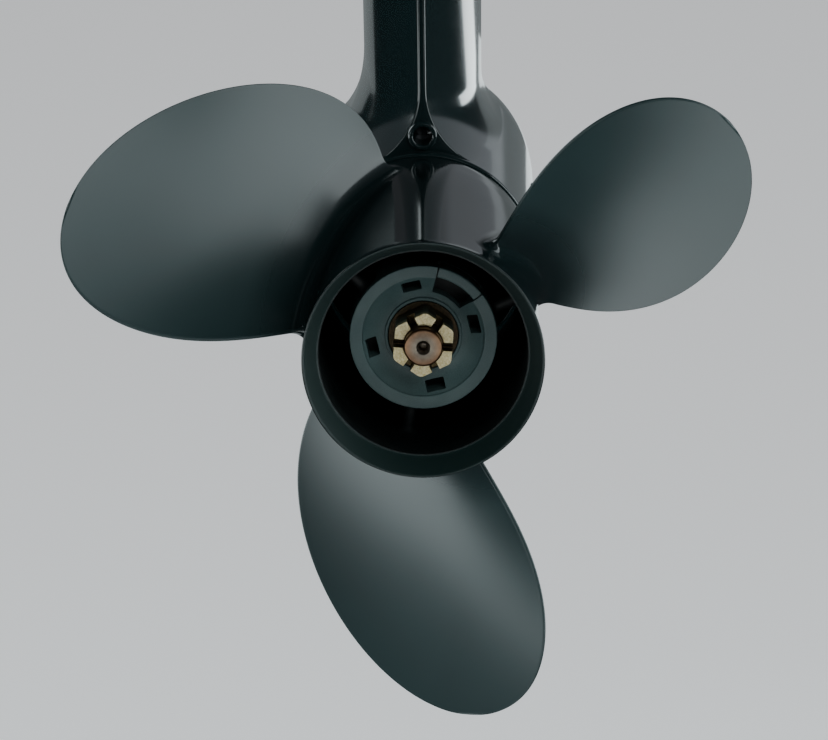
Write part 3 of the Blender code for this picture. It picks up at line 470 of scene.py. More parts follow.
def make_bright_steel():
    """Stainless steel, rolled and brushed: cool grey with lengthwise scratches.

    The scratches are drawn 0.6 mm apart and 10 mm long, coarser than real ones, so that they show.
    """
    material, tree, shader = new_material("brushed_stainless_steel")
    scratches = grain(tree, 0.0006, 3.0, stretch=(1.0, 0.06, 1.0))
    mix = {SHARE: scratches, FIRST: "#9b9d9b", SECOND: "#c4c6c3"}
    colour = add_node(tree, "Mix", mix, MIXED, data_type="RGBA")
    roughness = add_node(tree, "MapRange", (scratches, *NOISE, 0.24, 0.38))
    brushed = add_node(tree, "Bump", {"Height": scratches, "Distance": 0.00001})
    connect(shader, {"Base Color": colour, "Metallic": 1.0, "Roughness": roughness, "Normal": brushed})
    return material


def make_pin_steel():
    """Stainless wire browned by salt water, dark and slightly rough; on the washer, painted shade."""
    material, tree, shader = new_material("browned_pin_wire")
    spots = add_node(tree, "MapRange", (grain(tree, 0.0012, 3.0), *NOISE, 0.0, 1.0))
    mix = {SHARE: spots, FIRST: "#2a2418", SECOND: "#4c3f2c"}
    colour = add_node(tree, "Mix", mix, MIXED, data_type="RGBA")
    connect(shader, {"Base Color": colour, "Metallic": 0.8, "Roughness": 0.45})
    return material


def make_rubber():
    """Nitrile rubber, compression moulded: dull black with a faint bloom."""
    material, tree, shader = new_material("moulded_nitrile_rubber")
    bloom = add_node(tree, "MapRange", (grain(tree, 0.010), *NOISE, 0.0, 1.0))
    mix = {SHARE: bloom, FIRST: "#111212", SECOND: "#1c1e1e"}
    colour = add_node(tree, "Mix", mix, MIXED, data_type="RGBA")
    skin = add_node(tree, "Bump", {"Height": grain(tree, 0.0008), "Distance": 0.00002})
    connect(shader, {"Base Color": colour, "Roughness": 0.75, "Normal": skin})
    return material


def make_zinc():
    """Cast zinc anode metal: chalky grey, mottled by oxide, with a soft sheen."""
    material, tree, shader = new_material("cast_zinc")
    mottle = add_node(tree, "MapRange", (grain(tree, 0.008, 4.0), *NOISE, 0.0, 1.0))
    mix = {SHARE: mottle, FIRST: "#7d8386", SECOND: "#a4a8a8"}
    colour = add_node(tree, "Mix", mix, MIXED, data_type="RGBA")
    roughness = add_node(tree, "MapRange", (mottle, 0.0, 1.0, 0.50, 0.72))
    oxide = add_node(tree, "Bump", {"Height": grain(tree, 0.0015, 4.0), "Distance": 0.00006})
    connect(shader, {"Base Color": colour, "Metallic": 0.7, "Roughness": roughness, "Normal": oxide})
    return material


def make_floor_acrylic():
    """Opal acrylic, cast in sheets and lit from beneath: an even pale grey ground."""
    material, tree, shader = new_material("cast_opal_acrylic")
    roughness = add_node(tree, "MapRange", (grain(tree, 0.4), *NOISE, 0.82, 0.90))
    connect(shader, {"Base Color": "#d6d8da", "Roughness": roughness})
    connect(shader, {"Emission Color": "#f6f8fa", "Emission Strength": 0.42})
    return material


GEARCASE = make_gearcase_enamel()
HUB = make_hub_enamel()
BLADE = make_blade_enamel()
SOOT_AND_SHADE = make_exhaust_enamel()
COMPOSITE = make_composite()
BRASS = make_brass()
SHAFT_STEEL = make_shaft_steel()
BRIGHT_STEEL = make_bright_steel()
STAINED_STEEL_AND_SHADE = make_pin_steel()
RUBBER = make_rubber()
ZINC = make_zinc()


# Surfaces


def world(side, forward, height):
    """Points from the distance to starboard, the length along the shaft and the height above it."""
    side, forward, height = np.broadcast_arrays(side, forward, height)
    return np.stack([side, RIM_Y + forward, SHAFT_Z + height], axis=-1)


def on_shaft(across, up, along):
    """Place of a turned piece on the shaft's axis."""
    return world(across, along, up)


def grid_faces(rows, columns, wrap_rows, wrap_columns):
    """Quads between neighbouring points of a grid, closed round in either direction if wanted."""
    index = np.arange(rows * columns).reshape(rows, columns)
    if wrap_rows:
        index = np.vstack([index, index[:1]])
    if wrap_columns:
        index = np.hstack([index, index[:, :1]])
    corners = (index[:-1, :-1], index[:-1, 1:], index[1:, 1:], index[1:, :-1])
    return np.stack([corner.ravel() for corner in corners], axis=1)


def full_turn(steps):
    """Angles once round, evenly spaced."""
    return np.linspace(0.0, TAU, steps, endpoint=False)


def rear_to_front(count):
    """Shares from 1 at the rear to 0 at the front as (1 + cos a) / 2, closest at both ends."""
    return (1.0 + np.cos(np.linspace(0.0, np.pi, count))) / 2


def swing(out, beside, turn):
    """Distances to starboard and up of what stands out and beside at an angle about the shaft."""
    return out * np.cos(turn) - beside * np.sin(turn), out * np.sin(turn) + beside * np.cos(turn)


def fillet_growth(radius, distance):
    """How far a fillet of radius F has swollen at a distance d: F(1 - sqrt(1 - (1 - d/F)²))."""
    near = np.clip(1.0 - distance / radius, 0.0, 1.0)
    return radius * (1.0 - np.sqrt(1.0 - near ** 2))


def add_object(name, data):
    """Object of the scene for a mesh, a light or a camera."""
    made = bpy.data.objects.new(name, data)
    bpy.context.scene.collection.objects.link(made)
    return made


def smooth(mesh, sharp=32.0):
    """Shade a mesh smoothly between edges that turn by more than an angle in degrees."""
    mesh.shade_smooth()
    mesh.set_sharp_from_angle(angle=np.radians(sharp))


def add_mesh(name, points, faces, sharp=32.0):
    """Object at the origin from points and faces, with doubles merged and faces turned outwards."""
    mesh = bpy.data.meshes.new(name)
    mesh.from_pydata(np.asarray(points, dtype=float).reshape(-1, 3).tolist(), [], faces)
    work = bmesh.new()
    work.from_mesh(mesh)
    bmesh.ops.remove_doubles(work, verts=work.verts, dist=2e-6)
    bmesh.ops.dissolve_degenerate(work, edges=work.edges, dist=1e-7)
    bmesh.ops.recalc_face_normals(work, faces=work.faces)
    work.to_mesh(mesh)
    work.free()
    smooth(mesh, sharp)
    return add_object(name, mesh)


def add_grid(name, points, wrap_rows=False, wrap_columns=True, sharp=32.0):
    """Surface over a grid of points (rows, columns, 3); open end rows are closed by one face."""
    rows, columns, _ = points.shape
    faces = grid_faces(rows, columns, wrap_rows, wrap_columns).tolist()
    if wrap_columns and not wrap_rows:
        faces.append(list(range(columns))[::-1])
        faces.append(list(range((rows - 1) * columns, rows * columns)))
    return add_mesh(name, points, faces, sharp)


def dress(piece, material, body, *nodes):
    """Give a piece its finish, let it ride on its body and let it stand for its nodes."""
    piece.data.materials.clear()
    piece.data.materials.append(material)
    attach(piece, body)
    if nodes:
        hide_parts(*nodes)
    return piece


def carve(piece, *cutters):
    """Cut other closed pieces out of one, and remove them."""
    for cutter in cutters:
        cut = piece.modifiers.new("cut", "BOOLEAN")
        cut.operation = "DIFFERENCE"
        cut.solver = "EXACT"
        cut.object = cutter
    bpy.context.view_layer.update()
    evaluated = piece.evaluated_get(bpy.context.evaluated_depsgraph_get())
    mesh = bpy.data.meshes.new_from_object(evaluated)
    piece.modifiers.clear()
    piece.data = mesh
    for cutter in cutters:
        bpy.data.objects.remove(cutter)
    smooth(mesh)
    return piece


def join(name, *pieces):
    """One piece from the meshes of several, which are then removed."""
    mesh = bpy.data.meshes.new(name)
    work = bmesh.new()
    for piece in pieces:
        work.from_mesh(piece.data)
        bpy.data.objects.remove(piece)
    work.to_mesh(mesh)
    work.free()
    smooth(mesh)
    return add_object(name, mesh)


def rounded(corners, closed=True, steps=6):
    """Outline through (x, y, rounding) corners.

    Each corner is the curve (1-t)²A + 2t(1-t)P + t²B, where A and B lie one rounding away from
    the corner P along its two sides.
    """
    corners = np.asarray(corners, dtype=float)
    places = corners[:, :2]
    before = np.roll(places, 1, axis=0)
    after = np.roll(places, -1, axis=0)
    t = np.linspace(0.0, 1.0, steps)[:, None]
    outline = []
    for i, (place, rounding) in enumerate(zip(places, corners[:, 2])):
        end = not closed and i in (0, len(places) - 1)
        if rounding == 0.0 or end:
            outline.append(place[None, :])
            continue
        back = before[i] - place
        on = after[i] - place
        start = place + back / np.linalg.norm(back) * rounding
        finish = place + on / np.linalg.norm(on) * rounding
        outline.append((1 - t) ** 2 * start + 2 * t * (1 - t) * place + t ** 2 * finish)
    return np.vstack(outline)


def add_turned(name, outline, steps=192, place=on_shaft):
    """Surface of revolution: each outline point (radius, along) is carried once round the axis."""
    outline = np.asarray(outline, dtype=float)
    closed = outline[0, 0] > 0.0 or outline[-1, 0] > 0.0
    turn = full_turn(steps)
    radius = outline[:, :1]
    points = place(radius * np.cos(turn), radius * np.sin(turn), outline[:, 1:] + 0.0 * turn)
    rows, columns, _ = points.shape
    return add_mesh(name, points, grid_faces(rows, columns, closed, True).tolist())


def ring_corners(outer, inner, rear, front, rounding):
    """Corners of a plain ring, for rounded()."""
    pairs = ((outer, front), (outer, rear), (inner, rear), (inner, front))
    return [(radius, along, rounding) for radius, along in pairs]


BOX_FACES = [(0, 1, 3, 2), (4, 6, 7, 5), (0, 4, 5, 1), (2, 3, 7, 6), (0, 2, 6, 4), (1, 5, 7, 3)]


def add_box(name, centre, size, turn=0.0, rounding=0.0):
    """Box with sides (outwards, sideways, along) at an angle about the shaft, its edges rounded."""
    signs = np.array([(i, j, k) for i in (-1, 1) for j in (-1, 1) for k in (-1, 1)]) / 2.0
    out, beside, along = (signs * size + centre).T
    across, up = swing(out, beside, turn)
    piece = add_mesh(name, world(across, along, up), BOX_FACES)
    if rounding:
        work = bmesh.new()
        work.from_mesh(piece.data)
        bmesh.ops.bevel(
            work, geom=work.edges[:], offset=rounding, segments=3, profile=0.5, affect="EDGES"
        )
        work.to_mesh(piece.data)
        work.free()
        piece.data.shade_smooth()
    return piece


def add_sector(name, radii, degrees, lengths, rounding=0.0004):
    """Block between two radii and two lengths, swept from one angle to another."""
    inner, outer = radii
    outline = rounded(ring_corners(outer, inner, lengths[0], lengths[1], rounding))
    angles = np.radians(np.linspace(*degrees, 33))[:, None]
    radius = outline[None, :, 0]
    along = outline[None, :, 1] + 0.0 * angles
    return add_grid(name, world(radius * np.cos(angles), along, radius * np.sin(angles)))


# Propeller


def law(terms, share):
    """Polynomial in the share of the blade's span, with no constant term."""
    return sum(term * share ** (power + 1) for power, term in enumerate(terms))


def loop_normals(u, v):
    """Outward unit normals of closed loops, one to a row, that run round either way."""
    du = np.roll(u, -1, axis=1) - np.roll(u, 1, axis=1)
    dv = np.roll(v, -1, axis=1) - np.roll(v, 1, axis=1)
    length = np.maximum(np.hypot(du, dv), 1e-12)
    area = np.sum(u * np.roll(v, -1, axis=1) - np.roll(u, -1, axis=1) * v, axis=1, keepdims=True)
    sign = np.where(area > 0, 1.0, -1.0)
    return sign * dv / length, -sign * du / length


def blade_points():
    """One blade as rings of points: radius, angle and length along the shaft.

    At each radius the section lies on a cylinder about the shaft. Its rear face is a helicoid of
    the pitch, shifted by rake and skew, and its front face stands off it by the local thickness.
    Both faces close round the edge as an ellipse, and at the root the whole section swells by
    F(1 - sqrt(1 - (1 - d/F)²)) at a distance d from the barrel, which makes the fillet of
    radius F.
    """
    length = PROPELLER_RADIUS - BLADE_ROOT_RADIUS
    fillet = ROOT_FILLET * (1.0 - np.cos(np.linspace(0.0, np.pi / 2, 22)))
    start = (ROOT_FILLET - BLADE_ROOT_RADIUS + BARREL_RADIUS) / length
    span = np.sin(np.linspace(np.arcsin(start), np.pi / 2, 110)[1:])
    outer = BLADE_ROOT_RADIUS + length * span
    buried = BARREL_RADIUS - 0.0006
    radius = np.r_[buried, BARREL_RADIUS + fillet, outer][:, None]
    share = np.clip((radius - BLADE_ROOT_RADIUS) / length, 0.0, 1.0)
    spread_out = radius - BLADE_ROOT_RADIUS
    half_chord = np.sqrt(1.0 - share ** 2) * (HALF_CHORD[0] + law(HALF_CHORD[1:], share))
    across = np.sin(np.linspace(-np.pi / 2, np.pi / 2, 81))[None, :]
    angle = law(SKEW, share) + across * half_chord
    rake = ROOT_FORWARD + RAKE[0] * spread_out + RAKE[1] * spread_out ** 2
    forward = rake - PITCH / TAU * angle
    thickest = ROOT_THICKNESS + (TIP_THICKNESS - ROOT_THICKNESS) * share ** 0.8
    thickness = EDGE_THICKNESS + (thickest - EDGE_THICKNESS) * (1.0 - across ** 2)
    slope = np.arctan2(PITCH / TAU, radius)
    edge_round = 0.0011
    width = np.maximum(half_chord * radius / np.cos(slope), 1e-9)
    flat = np.clip(1.0 - edge_round / width, 0.0, 1.0)
    past = np.clip((np.abs(across) - flat) / np.maximum(1.0 - flat, 1e-9), 0.0, 1.0)
    tip = np.clip((radius - (PROPELLER_RADIUS - edge_round)) / edge_round, 0.0, 1.0)
    swell = np.sqrt(1.0 - past ** 2) * np.sqrt(1.0 - tip ** 2)
    rear = thickness / 2 * (1.0 - swell)
    front = thickness / 2 * (1.0 + swell)
    lift = np.concatenate([rear, front[:, ::-1]], axis=1)
    arc = np.concatenate([angle, angle[:, ::-1]], axis=1) * radius + lift * np.sin(slope)
    along = np.concatenate([forward, forward[:, ::-1]], axis=1) + lift * np.cos(slope)
    normal_arc, normal_along = loop_normals(arc, along)
    grow = fillet_growth(ROOT_FILLET, radius - BARREL_RADIUS)
    return radius, (arc + grow * normal_arc) / radius, along + grow * normal_along


def add_blades():
    """Three like blades, the first at starboard and the rest a third of a turn on."""
    radius, angle, along = blade_points()
    for number, place in enumerate(BLADE_NAMES):
        turned = angle + np.radians(FIRST_BLADE_ANGLE + number * BLADE_STEP)
        sunk = radius - 0.00005
        points = world(sunk * np.cos(turned), along, sunk * np.sin(turned))
        blade = add_grid("cast_blade_" + place, points, sharp=60.0)
        dress(blade, BLADE, "propeller", "blade_" + place)


def barrel_outside(forward):
    """Outer radius of the barrel, flared over its rear end and drawn in evenly towards its front.

    The flare of length F adds its full width times (1 - y/F)² at a length y from the rim.
    """
    flare = np.clip(1.0 - forward / OUTER_FLARE, 0.0, 1.0)
    taper = np.clip((forward - TAPER_START) / (HUB_LENGTH - TAPER_START), 0.0, 1.0)
    grown = (RIM_RADIUS - BARREL_RADIUS) * flare ** 2
    return BARREL_RADIUS + grown - (BARREL_RADIUS - BARREL_FRONT_RADIUS) * taper


def add_barrel():
    """Hub barrel with its flared rear band, and a lining of soot and painted shade from the flare's
    foot.
    """
    outside = np.r_[np.linspace(HUB_LENGTH, TAPER_START, 4)[1:], np.linspace(0.120, OUTER_FLARE, 5)]
    outside = np.r_[outside, np.linspace(OUTER_FLARE, 0.0, 10)[1:-1]]
    bore = BARREL_BORE + GAP
    corners = [(BARREL_FRONT_RADIUS, HUB_LENGTH, 0.0010)]
    corners += [(barrel_outside(forward), forward, 0.0) for forward in outside]
    corners += [(RIM_RADIUS, 0.0, 0.0007), (RIM_RADIUS - 0.0013, 0.0, 0.0006)]
    corners += [(STEP_RADIUS + 0.0007, STEP_FORWARD - 0.0009, 0.0008)]
    corners += [(STEP_RADIUS, STEP_FORWARD, 0.0003), (bore, STEP_FORWARD, 0.0003)]
    corners += [(bore, HUB_LENGTH, 0.0003)]
    barrel = add_turned("cast_hub_barrel", rounded(corners), steps=256)
    dress(barrel, HUB, "propeller", "hub_barrel")
    # Near-black sheet over the bore: soot, and painted shade of the deep exhaust passage.
    rear, front = INNER_FLARE - 0.0006, HUB_LENGTH - 0.0004
    corners = ring_corners(BARREL_BORE + 0.0004, BARREL_BORE, rear, front, 0.0001)
    dress(add_turned("sooted_lining", rounded(corners), steps=256), SOOT_AND_SHADE, "propeller")


def add_webs():
    """Three cast webs between barrel and ring, each swelling to a fillet at both of its roots.

    Rows run outwards from the ring, and each row is a flat loop whose rear end is half an ellipse.
    """
    reach = np.linspace(RING_RADIUS - 0.0004, BARREL_BORE + 0.0001, 27)
    root = np.minimum(reach - RING_RADIUS, BARREL_BORE - reach)
    half = WEB_THICKNESS / 2 + fillet_growth(WEB_FILLET, root)
    front = WEB_FRONT + 0.0 * half
    rear = WEB_REAR - (half - WEB_THICKNESS / 2) * 0.8
    nose = np.linspace(-np.pi / 2, np.pi / 2, 15)
    side = half[:, None] * np.sin(nose)
    side = np.concatenate([side, side[:, ::-1]], axis=1)
    back = rear[:, None] + half[:, None] * (1.0 - np.cos(nose)) * 0.9
    along = np.concatenate([back, front[:, None] + 0.0 * nose], axis=1)
    for number, place in enumerate(BLADE_NAMES):
        turn = np.radians(FIRST_BLADE_ANGLE + number * BLADE_STEP)
        across, up = swing(reach[:, None], side, turn)
        web = add_grid("cast_web_" + place, world(across, along, up), sharp=50.0)
        # The webs take the near-black finish: soot, and painted shade deep in the passage.
        dress(web, SOOT_AND_SHADE, "propeller", "web_" + place)


def add_ring():
    """Inner hub ring with its notch, and the key block that fills the notch."""
    corners = (
        (RING_RADIUS, RING_FRONT, 0.0006),
        (RING_RADIUS, RING_REAR, 0.0006),
        (RING_BORE, RING_REAR, 0.0009),
        (RING_BORE, RING_FRONT, 0.0006),
    )
    ring = add_turned("moulded_hub_ring", rounded(corners), steps=256)
    reach = 0.004
    radii = (RING_BORE - reach, RING_RADIUS + reach)
    notch = add_sector("notch", radii, KEY_ANGLES, (RING_REAR - reach, RING_REAR + KEY_DEPTH), 0.0)
    dress(carve(ring, notch), COMPOSITE, "propeller", "inner_hub_ring")
    slack = 1.3
    degrees = (KEY_ANGLES[0] + slack, KEY_ANGLES[1] - slack)
    lengths = (RING_REAR - 0.0002, RING_REAR + KEY_DEPTH - 0.0003)
    key = add_sector("moulded_key_block", (KEY_INNER_RADIUS, RING_RADIUS), degrees, lengths, 0.0010)
    dress(key, COMPOSITE, "propeller", "key_segment")


def add_end_plate():
    """Dished plate round the nut: a shallow bowl with a raised lip at its bore and four windows.

    The bowl meets the ring's rounded inner edge, and its depth grows as sin(90° s)^0.9 by the
    share s of the way inwards.
    """
    bowl = np.linspace(0.0, 1.0, 16)
    edge = RING_BORE - 0.00004
    lip = END_PLATE_BORE + END_PLATE_LIP
    radius = edge + (lip - edge) * bowl
    depth = RING_REAR + 0.0010 + END_PLATE_DISH * np.sin(bowl * np.pi / 2) ** 0.9
    corners = [(edge, END_PLATE_FRONT, 0.0)]
    corners += [(r, d, 0.0) for r, d in zip(radius, depth)]
    top = END_PLATE_REAR + 0.0020
    corners += [(lip - 0.0003, top, 0.0004), (END_PLATE_BORE, top, 0.0005)]
    corners += [(END_PLATE_BORE, END_PLATE_FRONT, 0.0)]
    plate = add_turned("moulded_end_plate", rounded(corners), steps=256)
    cutters = []
    centre, size = (WINDOW_CIRCLE, 0.0, END_PLATE_REAR), (*WINDOW_SIZE, 0.040)
    for number in range(4):
        turn = np.radians(FIRST_WINDOW_ANGLE + 90.0 * number)
        cutters.append(add_box("window", centre, size, turn, 0.0006))
    radii = (KEY_POCKET_RADIUS, RING_BORE + 0.002)
    lengths = (END_PLATE_REAR - 0.004, END_PLATE_FRONT + 0.001)
    cutters.append(add_sector("pocket", radii, KEY_ANGLES, lengths, 0.0))
    dress(carve(plate, *cutters), COMPOSITE, "propeller", "hub_end_plate")


def add_drive():
    """Rubber bush, splined sleeve, thrust washer and nut washer."""
    rear = END_PLATE_FRONT + GAP
    bush = ring_corners(RING_BORE - GAP, SLEEVE_RADIUS + GAP, rear, BUSH_FRONT, 0.0004)
    dress(add_turned("moulded_rubber_bush", rounded(bush), 96), RUBBER, "propeller", "rubber_bush")
    neck, bore = END_PLATE_BORE - GAP, SPLINE_RADIUS + GAP
    sleeve = (
        (SLEEVE_RADIUS, SLEEVE_FRONT, 0.0005),
        (SLEEVE_RADIUS, rear, 0.0002),
        (neck, rear, 0.0),
        (neck, SLEEVE_REAR, 0.0004),
        (bore, SLEEVE_REAR, 0.0002),
        (bore, SLEEVE_FRONT, 0.0005),
    )
    # The sleeve lies deep in the hub and wears the brass's painted shade in full.
    dress(add_turned("drive_sleeve_tube", rounded(sleeve), 96), BRASS, "propeller", "drive_sleeve")
    wide, narrow = THRUST_WASHER_RADII
    rear, step, front = THRUST_WASHER_LENGTHS
    washer = (
        (narrow, front, 0.0006),
        (wide, step, 0.0006),
        (wide, rear, 0.0005),
        (JOURNAL_RADIUS + GAP, rear, 0.0002),
        (JOURNAL_RADIUS + GAP, front, 0.0003),
    )
    piece = add_turned("turned_thrust_washer", rounded(washer), 128)
    dress(piece, BRIGHT_STEEL, "propeller", "thrust_washer")
    flat = ring_corners(neck, THREAD_RADIUS + GAP, NUT_FRONT + GAP, NUT_WASHER_FRONT, 0.0003)
    # The washer takes the dark browned steel, which also stands in for the shade in the recess round the
    # nut.
    dress(add_turned("pressed_nut_washer", rounded(flat), 128), STAINED_STEEL_AND_SHADE, "propeller", "nut_washer")


def add_shaft():
    """Propeller shaft: journal, splined length and thread, with a chamfered end and a drilling."""
    front = TORPEDO_REAR + EXHAUST_DEPTH - 0.004
    corners = (
        (0.0, front, 0.0),
        (JOURNAL_RADIUS, front, 0.0004),
        (JOURNAL_RADIUS, JOURNAL_REAR, 0.0006),
        (SPLINE_RADIUS, SPLINE_FRONT, 0.0006),
        (SPLINE_RADIUS, SPLINE_REAR, 0.0006),
        (THREAD_RADIUS, THREAD_FRONT, 0.0004),
        (THREAD_RADIUS, SHAFT_END + 0.0007, 0.0003),
        (THREAD_RADIUS - 0.0007, SHAFT_END, 0.0003),
        (DRILLING_MOUTH, SHAFT_END, 0.0002),
        (DRILLING_RADIUS, SHAFT_END + 0.0016, 0.0002),
        (DRILLING_RADIUS, SHAFT_END + DRILLING_DEPTH, 0.0004),
        (0.0, SHAFT_END + DRILLING_DEPTH + 0.0010, 0.0),
    )
    shaft = add_turned("turned_propeller_shaft", rounded(corners, closed=False), 128)
    dress(shaft, SHAFT_STEEL, "propeller", "propeller_shaft")


def add_nut():
    """Slotted nut: a hexagon whose corners are trimmed by a chamfer cone, bored and cut by slots.

    At an angle a from the middle of a flat at the distance f, the hexagon's radius is f / cos a,
    less a small rounding at the corners, and never more than the cone allows at that level.
    """
    turn = full_turn(180)
    flat = NUT_ACROSS_FLATS / 2
    middle = np.radians(NUT_SLOT_ANGLE)
    off_flat = np.abs((turn - middle + np.pi / 6) % (np.pi / 3) - np.pi / 6)
    hexagon = flat / np.cos(off_flat)
    corner_round = 0.0004
    hexagon = hexagon - corner_round * np.exp(-((np.pi / 6 - off_flat) / 0.05) ** 2)
    bore = THREAD_RADIUS + GAP
    levels = (
        (NUT_REAR + 0.0003, bore),
        (NUT_REAR, bore + 0.0003),
        (NUT_REAR, flat + 0.0019),
        (NUT_REAR + 0.0003, flat + 0.0021),
        (NUT_REAR + 0.0010, flat + 0.0030),
        (NUT_FRONT - 0.0008, flat + 0.0030),
        (NUT_FRONT, flat + 0.0010),
        (NUT_FRONT, bore),
    )
    along, limit = np.array(levels).T[:, :, None]
    radius = np.minimum(hexagon, limit)
    points = world(radius * np.cos(turn), along, radius * np.sin(turn))
    nut = add_grid("milled_slotted_nut", points, wrap_rows=True, sharp=20.0)
    cutters = []
    centre, size = (0.0, 0.0, NUT_REAR), (0.060, NUT_SLOT_WIDTH, 2 * NUT_SLOT_DEPTH)
    for number in range(3):
        cutters.append(add_box("slot", centre, size, middle + number * np.pi / 3, 0.0003))
    dress(carve(nut, *cutters), BRASS, "propeller", "castle_nut")


def add_pin():
    """Split pin: two oval legs side by side, each an ellipse carried along the pin.

    Past the nut's slots the legs open by the distance past them to the power 1.5.
    """
    turn = np.radians(NUT_SLOT_ANGLE)
    reach = PIN_LENGTH / 2
    angle = full_turn(16)
    out = np.linspace(-reach, reach, 41)[:, None]
    forward = PIN_FORWARD + PIN_LEG_HALF_HEIGHT * np.cos(angle)
    past = np.clip(np.abs(out) - PIN_STRAIGHT_HALF, 0.0, None) / 0.0035
    legs = []
    for side in (-1.0, 1.0):
        beside = side * (PIN_LEG_OFFSET + 0.0004 * past ** 1.5)
        beside = beside + PIN_LEG_HALF_WIDTH * np.sin(angle)
        across, up = swing(out, beside, turn)
        legs.append(add_grid("pin_leg", world(across, forward, up)))
    dress(join("bent_split_pin", *legs), STAINED_STEEL_AND_SHADE, "propeller", "split_pin")


# Gearcase


def torpedo_radius(forward):
    """Outer radius of the bullet: nearly straight, then falling as (1 - q^2.2)^0.62 to the tip."""
    straight = np.clip((forward - TORPEDO_REAR) / (NOSE_START - TORPEDO_REAR), 0.0, 1.0)
    nose = np.clip((forward - NOSE_START) / (NOSE_TIP - NOSE_START), 0.0, 1.0)
    radius = TORPEDO_REAR_RADIUS + (TORPEDO_RADIUS - TORPEDO_REAR_RADIUS) * straight
    return radius * (1.0 - nose ** 2.2) ** 0.62


def add_torpedo():
    """Bullet of the gearcase: one outline from the nose tip round the rear lip into the bore."""
    nose = NOSE_START + (NOSE_TIP - NOSE_START) * np.sin(np.linspace(np.pi / 2, 0.0, 60))
    outside = np.c_[torpedo_radius(nose), nose]
    outside[0, 0] = 0.0
    seam = TORPEDO_REAR + EXHAUST_DEPTH
    body = np.linspace(NOSE_START, TORPEDO_REAR + 0.004, 20)[1:]
    lip = rounded(
        (
            (TORPEDO_REAR_RADIUS, TORPEDO_REAR + 0.0030, 0.0),
            (TORPEDO_REAR_RADIUS, TORPEDO_REAR, 0.0016),
            (EXHAUST_BORE, TORPEDO_REAR, 0.0006),
            (EXHAUST_BORE, seam, 0.0),
            (0.0, seam, 0.0),
        ),
        closed=False,
        steps=8,
    )
    outline = np.vstack([outside, np.c_[torpedo_radius(body), body], lip])
    torpedo = add_turned("cast_bullet", outline, steps=256)
    pocket = (PLUG_RADIUS + GAP, -PLUG_DEPTH - GAP, 0.0100)
    cutters = [add_plug_disc("pocket", *place, *pocket) for place in PLUG_PLACES]
    dress(carve(torpedo, *cutters), GEARCASE, "gearcase", "gearcase_torpedo", "exhaust_housing")


def plug_face(forward, height):
    """Distance to starboard of the bullet's side at a length and height."""
    return float(np.sqrt(torpedo_radius(np.array(forward)) ** 2 - height ** 2))


def add_plug_disc(name, forward, height, radius, low, high, rounding=0.0):
    """Disc across the bullet's starboard side, between two distances from its face."""
    face = plug_face(forward, height)
    corners = [(0.0, face + high, 0.0), (radius, face + high, rounding), (radius, face + low, rounding)]
    corners += [(0.0, face + low, 0.0)]

    def sideways(across, up, along):
        """Place of a turned piece whose axis points to starboard."""
        return world(along, forward + across, height + up)

    return add_turned(name, rounded(corners, closed=False), 64, sideways)


def add_plugs():
    """Slotted screw plugs, flush in the bullet's side."""
    for node, (forward, height) in zip(PLUG_NODES, PLUG_PLACES):
        disc = (PLUG_RADIUS, -PLUG_DEPTH, 0.0008)
        plug = add_plug_disc("turned_" + node, forward, height, *disc, rounding=0.0006)
        slot = add_box("slot", (plug_face(forward, height), height, forward), PLUG_SLOT)
        dress(carve(plug, slot), BRIGHT_STEEL, "gearcase", node)


def foil_half(share, thickness, edge, thickest):
    """Half width of a streamlined section at a share of the chord from its front.

    Elliptic ahead of the thickest place, parabolic behind it, and edge wide at its rear end.
    """
    ahead = np.clip((thickest - share) / thickest, 0.0, 1.0)
    behind = np.clip((share - thickest) / (1.0 - thickest), 0.0, 1.0)
    shape = np.sqrt(1.0 - ahead ** 2) * (1.0 - behind ** 2)
    return np.where(share < thickest, 0.0, edge) * (1.0 - shape) + thickness * shape


def both_sides(half, port_half=None):
    """Closed loops from starboard halves that run from the rear middle to the front middle.

    The port half is the starboard one mirrored, or else another half given in the same way.
    """
    source = half if port_half is None else port_half
    port = source[:, -2:0:-1] * np.array([-1.0, 1.0, 1.0])
    return np.concatenate([half, port], axis=1)


def leg_stations(height):
    """Half width and length along the shaft of the leg's side at heights, from rear to front."""
    share = rear_to_front(72)
    rise = np.maximum(height - FOOT_TOP, 0.0)
    thickness = LEG_HALF_THICKNESS + LEG_SPREAD * rise
    rear = LEG_REAR + LEG_REAR_SWEEP * rise
    front = LEG_FRONT + LEG_FRONT_SWEEP * rise
    return foil_half(share, thickness, LEG_TAIL_HALF, LEG_THICKEST), front + (rear - front) * share


def rolled_foot(side, forward, turn_side, turn_forward, ball):
    """Where a ball touches both an upright side and the bullet, seen along the side's normal.

    The ball's centre stands one radius out from the side, at the lowest height at which it
    clears the bullet: the greatest value of ground(d) + sqrt(r² - (d - r)²) over the distances d
    that lie over the bullet. Returns that height and the angle of the hollow arc from the side
    to the bullet.
    """
    out = np.linspace(0.0, 1.0, 400)[:, None] * ball
    at_side = side + turn_side * out
    at_forward = forward + turn_forward * out
    ground = np.sqrt(np.maximum(torpedo_radius(at_forward) ** 2 - at_side ** 2, 0.0))
    reach = ground + np.sqrt(np.maximum(ball ** 2 - (out - ball) ** 2, 0.0))
    best = np.argmax(np.where(ground > 0.0, reach, 0.0), axis=0)
    pick = np.arange(len(best))
    angle = np.arccos(np.clip((ball - out[best, pick]) / ball, 0.0, 1.0))
    return reach[best, pick], angle


